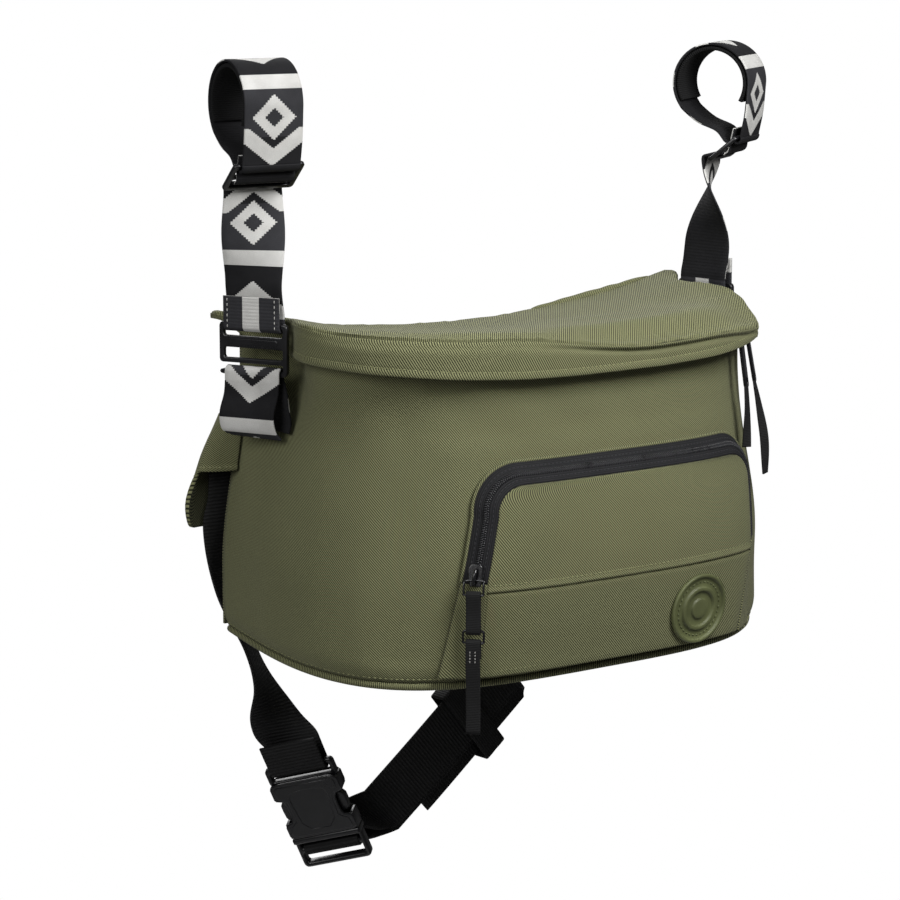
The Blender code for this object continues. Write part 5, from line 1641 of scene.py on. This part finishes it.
def belt_right():
    bar = BUCKLE_TOP + buckle_up * (plug_base - 10.75)
    fold = 3.4
    centres = [in_wing(1, 7.9, 47.6, -222.0), in_wing(1, 9.8, 47.6, -238.0),
               in_wing(1, 10.7, 48.4, -258.0)]
    centres += [Vector(spot) for spot in (
        (146.0, 61.0, -297.0), (99.0, 61.0, -338.0), (57.0, 57.0, -372.0), (17.0, 53.0, -402.0),
        (-19.0, 52.0, -431.0), (-48.0, 55.0, -457.0))]
    keys = []
    for index, centre in enumerate(centres):
        run_to = centres[min(index + 1, len(centres) - 1)] - centres[max(index - 1, 0)]
        keys.append((centre, Vector((-run_to.z, 0.0, run_to.x)).normalized()))
    run = curve_through(keys, 12)
    edge_side = run[-1][1]
    back, up, across = buckle_back, buckle_up, buckle_across
    into = [(bar + back * 21.0 + Vector((8.0, 0.0, 1.0)), edge_side.lerp(across, 0.45)),
            (bar + back * 12.0 + up * 3.0, edge_side.lerp(across, 0.85)),
            (bar + back * 6.0 + up * fold, across)]
    wrap = [(bar - back * (fold * math.sin(a)) + up * (fold * math.cos(a)), across)
            for a in spread(0.0, math.pi, 9)]
    away = [(bar + back * 6.0 - up * (fold + 0.6), across),
            (bar + back * 13.0 - up * 6.0, edge_side.lerp(across, 0.8)),
            (bar + back * 24.0 - up * 5.0 + Vector((8.0, 0.0, 0.0)), edge_side.lerp(across, 0.4))]
    outward = Vector((0.0, 1.0, 0.0))
    tail_side = outward * 3.4 + edge_side * 5.0
    shelf = [row for row in run if -50.0 < row[0].x < TAIL_FOLD_X]
    tail = [(centre + tail_side, side) for centre, side in reversed(shelf)]
    end, end_side = tail[-1]
    along = (tail[-1][0] - tail[-3][0]).normalized()
    slip = edge_side * TAIL_SLIP
    bend = [(end + along * (3.0 * math.sin(a)) + outward * (3.0 - 3.0 * math.cos(a))
             + slip * (a / math.pi), end_side) for a in spread(0.0, math.pi, 9)[1:]]
    home = [(centre + outward * 6.0 + slip, side) for centre, side in reversed(tail)
            if centre.x > TAIL_END_X]
    ends = curve_through(run[-1:] + into, 5)[1:-1] + wrap + curve_through(away + tail[:1], 5)[:-1]
    return run, run + ends + tail + bend + home[1:], tail_side + outward * 6.0 + slip, outward


left_belt = belt_left()
right_run, right_belt, packed_side, outward = belt_right()
web = webbing("waist_belt_left", left_belt, STRAP_WIDTH, BELT_THICK, [belt_black])
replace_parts(web, "belt_web_left")
web = webbing("waist_belt_right", right_belt, STRAP_WIDTH, BELT_THICK, [belt_black])
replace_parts(web, "belt_web_right")
print("waist belt in mm:", round(running([spot for spot, _ in right_belt])[-1]))


# %% Keeper
def keeper():
    spot = min(right_run, key=lambda row: abs(row[0].x - KEEPER_X))
    index = right_run.index(spot)
    along = (right_run[index + 1][0] - right_run[index - 1][0]).normalized()
    across = (spot[1] - along * spot[1].dot(along)).normalized()
    deep = along.cross(across)
    if deep.dot(outward) < 0.0:
        deep = -deep
    reach, slip = packed_side.dot(deep), packed_side.dot(across)
    low, high = -STRAP_WIDTH / 2 - 0.9 + min(0.0, slip), STRAP_WIDTH / 2 + 0.9 + max(0.0, slip)
    near, far = -BELT_THICK / 2 - 0.8, reach + BELT_THICK / 2 + 0.8
    rings = []
    for end, grow in ((-9.0, 0.1), (-9.0, 1.1), (-8.4, 1.4), (-4.0, 1.5), (0.0, 1.35), (4.0, 1.5),
                      (8.4, 1.4), (9.0, 1.1), (9.0, 0.1), (4.0, 0.0), (-4.0, 0.0)):
        outline = rounded_box((low - grow, near - grow), (high + grow, far + grow), 1.2 + grow, 5)
        rings.append([spot[0] + across * a + deep * b + along * end for a, b in outline])
    made = skin("belt_loop", rings, [elastic_black], looped=True)
    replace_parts(made, "belt_keeper")


keeper()


# %% Side-release buckle
def buckle_placing(lift):
    """Local X across, local Y up the buckle, moved along its face."""
    made = standing(BUCKLE_TOP, buckle_across, buckle_up)
    return made @ Matrix.Translation((0.0, 0.0, lift * MM))


def mirrored(outline):
    return outline + [(-x, y) for x, y in reversed(outline)]


def outline_of_panel():
    half = BUCKLE_HALF
    return mirrored([(half - 4.0, -12.0), (half - 2.6, -14.0), (half - 3.0, -20.5),
                     (half - 8.2, -23.5), (half - 8.6, -38.6), (half - 3.0, -42.0),
                     (half - 2.6, -47.6), (half - 4.0, -49.4)])


def socket_plates():
    half, mouth = BUCKLE_HALF, -SOCKET_LENGTH
    side = [(0.0, -9.8), (half - 6.0, -9.8), (half - 2.0, -10.6), (half, -13.0), (half, -20.5),
            (half - 1.0, -22.0), (half - 5.2, -23.2), (half - 6.2, -26.0), (half - 6.4, -31.0),
            (half - 6.2, -36.0), (half - 5.0, -38.8), (half - 1.0, -40.0), (half, -41.8),
            (half, mouth + 2.4), (half - 2.2, mouth), (0.0, mouth)]
    outline = mirrored(side[1:-1])
    for lift, name in ((4.7, "front"), (-4.7, "back")):
        made = cast_plate("buckle_socket_" + name, [outline], 1.8, buckle_placing(lift), plastic,
                          edge=0.8)
        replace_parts(made, "buckle_socket")
        hollow = mirrored([(5.0, -16.5), (11.5, -18.0), (12.6, -22.0), (11.0, -40.0), (6.0, -45.5)])
        relief = cast_plate("buckle_panel_" + name, [outline_of_panel(), hollow], 0.9,
                            buckle_placing(lift + math.copysign(0.75, lift)), plastic, edge=0.4)
    walls = [rounded_box((half - 2.4, mouth), (half, -40.0), 0.6, 2),
             rounded_box((half - 2.4, -22.0), (half, -12.0), 0.6, 2)]
    for number, outline in enumerate(walls):
        for sign in (-1.0, 1.0):
            flipped = [(sign * x, y) for x, y in outline][::int(sign)]
            made = cast_plate("buckle_wall_%d_%s" % (number, "l" if sign < 0.0 else "r"), [flipped],
                              9.0, buckle_placing(0.0), plastic, edge=0.5)
    frame_line = rounded_box((-half, -12.8), (half, 0.0), 2.6)
    window = rounded_box((-half + 3.2, -9.6), (half - 3.2, -3.5), 1.2)
    made = cast_plate("buckle_webbing_bar", [frame_line, window], 4.6, buckle_placing(0.0), plastic,
                      edge=1.2)


def plug_parts():
    half, base = BUCKLE_HALF, plug_base
    fork = mirrored([(3.4, base + 2.0), (3.4, -17.5), (2.2, -16.0)])
    made = cast_plate("buckle_tongue", [fork], 4.8, buckle_placing(0.0), plastic, edge=0.8)
    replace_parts(made, "buckle_plug")
    for sign, name in ((-1.0, "left"), (1.0, "right")):
        prong = [(13.0, base + 1.0), (12.6, -32.0), (14.5, -25.5), (17.5, -23.6), (20.0, -24.6),
                 (21.9, -27.4), (22.0, -31.5), (21.6, -36.5), (20.4, -38.4), (17.2, -38.8),
                 (16.8, -42.0), (16.6, base + 1.0)]
        outline = [(sign * x, y) for x, y in prong][::int(sign)]
        made = cast_plate("buckle_prong_" + name, [outline], 4.8, buckle_placing(0.0), plastic,
                          edge=1.0)
    collar = rounded_box((-half, base - 4.2), (half, base), 1.2)
    made = cast_plate("buckle_collar", [collar], 11.2, buckle_placing(0.0), plastic, edge=1.4)
    frame_line = rounded_box((-half, base - 23.5), (half, base - 2.0), 3.2)
    upper = rounded_box((-half + 3.2, base - 9.0), (half - 3.2, base - 4.0), 1.2)
    lower = rounded_box((-half + 3.2, base - 20.0), (half - 3.2, base - 12.5), 1.4)
    made = cast_plate("buckle_plug_frame", [frame_line, upper, lower], 6.4, buckle_placing(0.0),
                      plastic, edge=1.6)


socket_plates()
plug_parts()
print("buckle pieces made")

# %% [markdown]
# ## Sliders, pullers and tails
# Two enamelled sliders sit at the lid's right corner with slim pullers and narrow webbing tails. The
# pocket's slider carries a wire bail, a folded piece of tape, a wire ring and a hanging tab. Each one
# moves by itself, so each is its own piece on its own body.

# %% Main sliders and their tails
def main_pull(name, turn, lean, tail_bend, body):
    seat = Vector(main_zip_point(turn, 0.42, SEAT_GAP))
    ahead = Vector(main_zip_point(turn + 0.01, 0.42, SEAT_GAP))
    along = (ahead - seat).normalized()
    out = along.cross(UP)
    placing = standing(seat + out * 1.6, along, UP)
    shape = [(-5.5, 0.0), (-4.6, 2.6), (-2.0, 3.8), (3.6, 3.8), (5.2, 2.6), (5.5, 0.0)]
    shape += [(x, -y) for x, y in reversed(shape[1:-1])]
    plate = cast_plate("slider_" + name, [shape[::-1]], 2.2, placing, enamel, edge=0.6)
    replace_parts(plate, "main_slider_" + name)
    bridge = [seat + out * 2.4 - along * 3.4, seat + out * 4.0 - along * 2.6,
              seat + out * 4.6, seat + out * 4.0 + along * 2.6, seat + out * 2.4 + along * 3.4]
    arch = rod("slider_bridge_" + name, smooth_line(bridge, 4), 0.8, [enamel])

    def hung(drop, reach):
        return seat + out * (4.4 + SEAT_GAP + 1.4 + reach) - UP * drop

    start, end = hung(-1.0, 0.0), hung(35.0, lean)
    rod_way = (end - start).normalized()
    tall = (end - start).length / 2
    shape = rounded_box((-2.6, -tall), (2.6, tall), 2.2)
    eye = rounded_box((-1.3, -tall + 2.2), (1.3, -tall + 6.5), 1.2)
    puller = cast_plate("puller_" + name, [shape, eye], 2.2,
                        standing((start + end) / 2, along, -rod_way), enamel, body, edge=0.6)
    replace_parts(puller, "main_puller_" + name)
    root = end - rod_way * 1.2
    keys = [(root, along)]
    for drop, reach, twist in tail_bend:
        keys.append((root + out * reach - UP * drop, along * math.cos(twist) + out * math.sin(twist)))
    tail = webbing("tail_" + name, curve_through(keys, 14), 6.0, 1.2, [tape_black], body)
    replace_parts(tail, "main_tail_" + name)


main_pull("front", 0.70, 5.0, [(16.0, 1.0, 0.2), (38.0, 1.0, 0.9)], "front_pull")
main_pull("back", 0.745, 6.0, [(14.0, 3.0, 0.4), (36.0, 7.0, 1.0), (58.0, 8.0, 0.4)], "back_pull")
print("main pulls made")

# %% Pocket slider and its chain
SLIDER_Z, SLIDER_END_Z, SLIDER_THICK, WIRE = -266.0, -236.0, 4.6, 0.7
BAIL_DROP, PULL_LENGTH, RING_LENGTH, TAB_LENGTH = 8.0, 21.0, 7.0, 54.0
HUNG_OUT = 2.2


def band_spot(z, share):
    return on_front(pocket_left(z) + POCKET_INSET * share, z,
                    mix(FINE_CLOTH / 2 + SEAT_GAP, POCKET_LIFT, share ** 0.8)
                    + 0.9 * bump(share, 0.5, 0.12))


def closed_wire(name, corners, body):
    rounded = smooth_line(corners + corners[:1], 6)[:-1]
    made = rod(name, rounded, WIRE, [enamel], body, closed=True, sides=12)
    return made


def pocket_slider(middle, across, track, face):
    """Low plate over the coil, with the bridge that holds the bail."""
    shape = [(-2.6, 6.5), (-4.3, 4.2), (-4.3, -2.0), (-3.2, -6.5), (3.2, -6.5), (4.3, -2.0),
             (4.3, 4.2), (2.6, 6.5)]
    base = cast_plate("pocket_slider_plate", [shape], 1.5,
                      standing(middle - face * 0.85, -across, track), enamel, "pocket_runner", 0.6)
    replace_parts(base, "pocket_slider")
    hump = [middle - track * 5.6, middle - track * 5.2 + face * 2.0, middle - track * 2.5 + face * 3.0,
            middle + track * 1.0 + face * 3.0, middle + track * 3.2 + face * 1.6, middle + track * 3.4]
    arch = rod("pocket_slider_bridge", smooth_line(hump, 5), 1.0, [enamel], "pocket_runner")


def folded_pull(top, bottom):
    """(reach, drop) round the folded tape, which is pinched between the bail and the ring."""
    fold, pinch, middle = 1.9, 1.1, (top + bottom) / 2
    outline = [(-math.cos(a) * fold, top - math.sin(a) * fold) for a in spread(0.0, math.pi, 9)]
    outline += [(mix(fold, pinch, bump(drop, middle, 7.0)), drop)
                for drop in spread(top, bottom, 9)[1:-1]]
    outline += [(math.cos(a) * fold, bottom + math.sin(a) * fold) for a in spread(0.0, math.pi, 9)]
    outline += [(-mix(fold, pinch, bump(drop, middle, 7.0)), drop)
                for drop in spread(bottom, top, 9)[1:]]
    return outline


def pocket_tab(hung, across, out, spot):
    """Hanging tab, folded over the ring and tacked with two short rows of stitches."""
    drops = [(-1.7, 10.0), (-1.7, 4.0)]
    drops += [(-math.cos(a) * 1.7, -math.sin(a) * 1.7) for a in spread(0.0, math.pi, 7)]
    drops += [(1.7, 4.0), (1.5, 14.0), (0.6, 28.0), (0.2, 42.0), (0.6, TAB_LENGTH)]
    path = smooth_path([(hung(0.0, HUNG_OUT + reach, spot + drop), across) for reach, drop in drops], 4)
    tab = webbing("pocket_tab_tape", path, 8.6, 1.0, [tape_black], "pocket_tag", edge=0.3)
    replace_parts(tab, "pocket_tab")
    for number, side in enumerate((-1.6, 1.4)):
        tack = [(hung(side, 4.35, spot + drop), out) for drop in spread(4.0, 13.0, 10)]
        stitches("pocket_tab_tack_%d" % (number + 1), tack, pale_thread, "pocket_tag", stitch=1.3,
                 gap=0.6, radius=0.22)


def pocket_pull():
    """Slider, bail, folded pull, ring and tab, each hung on the one before."""
    low, high = band_spot(SLIDER_Z, 0.5), band_spot(SLIDER_END_Z, 0.5)
    track = (high - low).normalized()
    across = band_spot(SLIDER_Z, 0.75) - band_spot(SLIDER_Z, 0.25)
    across = Vector((across.x, across.y, 0.0)).normalized()
    out = across.cross(UP)
    face = across.cross(track).normalized()
    middle = low + face * (TAPE / 2 + SEAT_GAP + SLIDER_THICK / 2)
    pocket_slider(middle, across, track, face)
    pivot = middle + face * 1.0 - track * 3.0

    def hung(side, lift, drop):
        return pivot + across * side + out * lift - UP * drop

    bail = closed_wire("pocket_bail_wire", [
        hung(-4.8, 0.0, 0.0), hung(4.8, 0.0, 0.0), hung(5.7, 1.0, 1.6), hung(5.7, 2.0, 6.6),
        hung(4.8, HUNG_OUT, BAIL_DROP), hung(-4.8, HUNG_OUT, BAIL_DROP), hung(-5.7, 2.0, 6.6),
        hung(-5.7, 1.0, 1.6)], "pocket_pull")
    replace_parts(bail, "pocket_bail")
    bottom = BAIL_DROP + PULL_LENGTH
    path = [(hung(0.0, HUNG_OUT + reach, drop), across)
            for reach, drop in folded_pull(BAIL_DROP, bottom)]
    fold_tape = webbing("pocket_pull_tape", path, 8.4, 1.0, [tape_black], "pocket_pull", edge=0.3)
    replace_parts(fold_tape, "pocket_pull_loop")
    ring = closed_wire("pocket_tab_ring", [hung(side, HUNG_OUT, bottom + drop) for side, drop in (
        (-4.9, 0.0), (4.9, 0.0), (6.0, 1.4), (6.0, RING_LENGTH - 1.4), (4.9, RING_LENGTH),
        (-4.9, RING_LENGTH), (-6.0, RING_LENGTH - 1.4), (-6.0, 1.4))], "pocket_tag")
    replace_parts(ring, "pocket_ring")
    pocket_tab(hung, across, out, bottom + RING_LENGTH)


pocket_pull()
print("pocket pull made")

# %% [markdown]
# ## Floor, light and camera
# The bag hangs, so nothing stands on the floor. A pale floor far below sends a little light up from
# underneath, and the background is white. Four square lamps light the bag: a small key lamp near
# the front makes the soft shine of the cloth, a wide one fills in from the left, one hangs above,
# and one behind draws the edges. The sky lights it only weakly, so the black parts stay dark. The
# camera looks from the left and a little from above, far away with a long lens, which keeps the
# bag's sides nearly parallel.

# %% Backdrop
def pale_backdrop():
    """A pale floor far below the bag, under the camera's picture."""
    surface = Finish("pale_backdrop", roughness=0.95)
    surface.shader.inputs["Base Color"].default_value = (0.86, 0.86, 0.86, 1.0)
    mesh = bpy.data.meshes.new("floor")
    size, low = 1.0, -1.6
    mesh.from_pydata([(-size, -size, low), (size, -size, low), (size, size, low), (-size, size, low)],
                     [], [(0, 1, 2, 3)])
    mesh.materials.append(surface.material)
    floor = bpy.data.objects.new("floor", mesh)
    bpy.context.scene.collection.objects.link(floor)


pale_backdrop()


# %% Sky and lamps
SKY_LIGHT, SKY_SEEN = 0.10, 1.0


def sky():
    """White where the camera sees it, weak where it lights the bag."""
    world = bpy.data.worlds.new("studio")
    world.use_nodes = True
    tree = world.node_tree
    light = tree.nodes["Background"]
    light.inputs["Color"].default_value = (1.0, 1.0, 1.0, 1.0)
    light.inputs["Strength"].default_value = SKY_LIGHT
    white = tree.nodes.new("ShaderNodeBackground")
    white.inputs["Color"].default_value = (1.0, 1.0, 1.0, 1.0)
    white.inputs["Strength"].default_value = SKY_SEEN
    path = tree.nodes.new("ShaderNodeLightPath")
    mixer = tree.nodes.new("ShaderNodeMixShader")
    tree.links.new(path.outputs["Is Camera Ray"], mixer.inputs[0])
    tree.links.new(light.outputs[0], mixer.inputs[1])
    tree.links.new(white.outputs[0], mixer.inputs[2])
    tree.links.new(mixer.outputs[0], tree.nodes["World Output"].inputs["Surface"])
    bpy.context.scene.world = world


def lamp(name, place, target, size, power):
    """Square lamp aimed at a target; places and size in metres, power in watts."""
    light = bpy.data.lights.new(name, "AREA")
    light.shape = "SQUARE"
    light.size = size
    light.energy = power
    made = bpy.data.objects.new(name, light)
    made.location = place
    made.rotation_euler = (Vector(target) - Vector(place)).to_track_quat("-Z", "Y").to_euler()
    bpy.context.scene.collection.objects.link(made)


sky()
lamp("key_light", (0.12, -0.72, 0.42), (0.0, -0.10, -0.18), 0.45, 10.0)
lamp("fill_light", (-1.5, -0.6, 0.45), (0.0, 0.0, -0.25), 0.8, 12.0)
lamp("top_light", (-0.2, 0.3, 1.6), (0.0, 0.0, -0.2), 0.9, 8.0)
lamp("back_light", (0.7, 2.0, 0.9), (0.0, 0.0, -0.25), 1.2, 22.0)
bpy.context.scene.view_settings.view_transform = "Standard"

# %% Camera
AZIMUTH, PITCH = math.radians(-35.0), math.radians(10.5)
CAMERA_SPOT = Vector((-1069.9, -1481.5, 118.0))


def camera():
    back = Vector((math.sin(AZIMUTH) * math.cos(PITCH), -math.cos(AZIMUTH) * math.cos(PITCH),
                   math.sin(PITCH)))
    right = Vector((math.cos(AZIMUTH), math.sin(AZIMUTH), 0.0))
    up = back.cross(right)
    lens = bpy.data.cameras.new("camera")
    lens.lens = 120.0
    lens.sensor_width = 36.0
    lens.clip_start = 0.05
    made = bpy.data.objects.new("camera", lens)
    turn = Matrix((right, up, back)).transposed().to_4x4()
    made.matrix_world = Matrix.Translation(CAMERA_SPOT * MM) @ turn
    bpy.context.scene.collection.objects.link(made)
    bpy.context.scene.camera = made


camera()

# %% Update the scene and finish
bpy.context.view_layer.update()
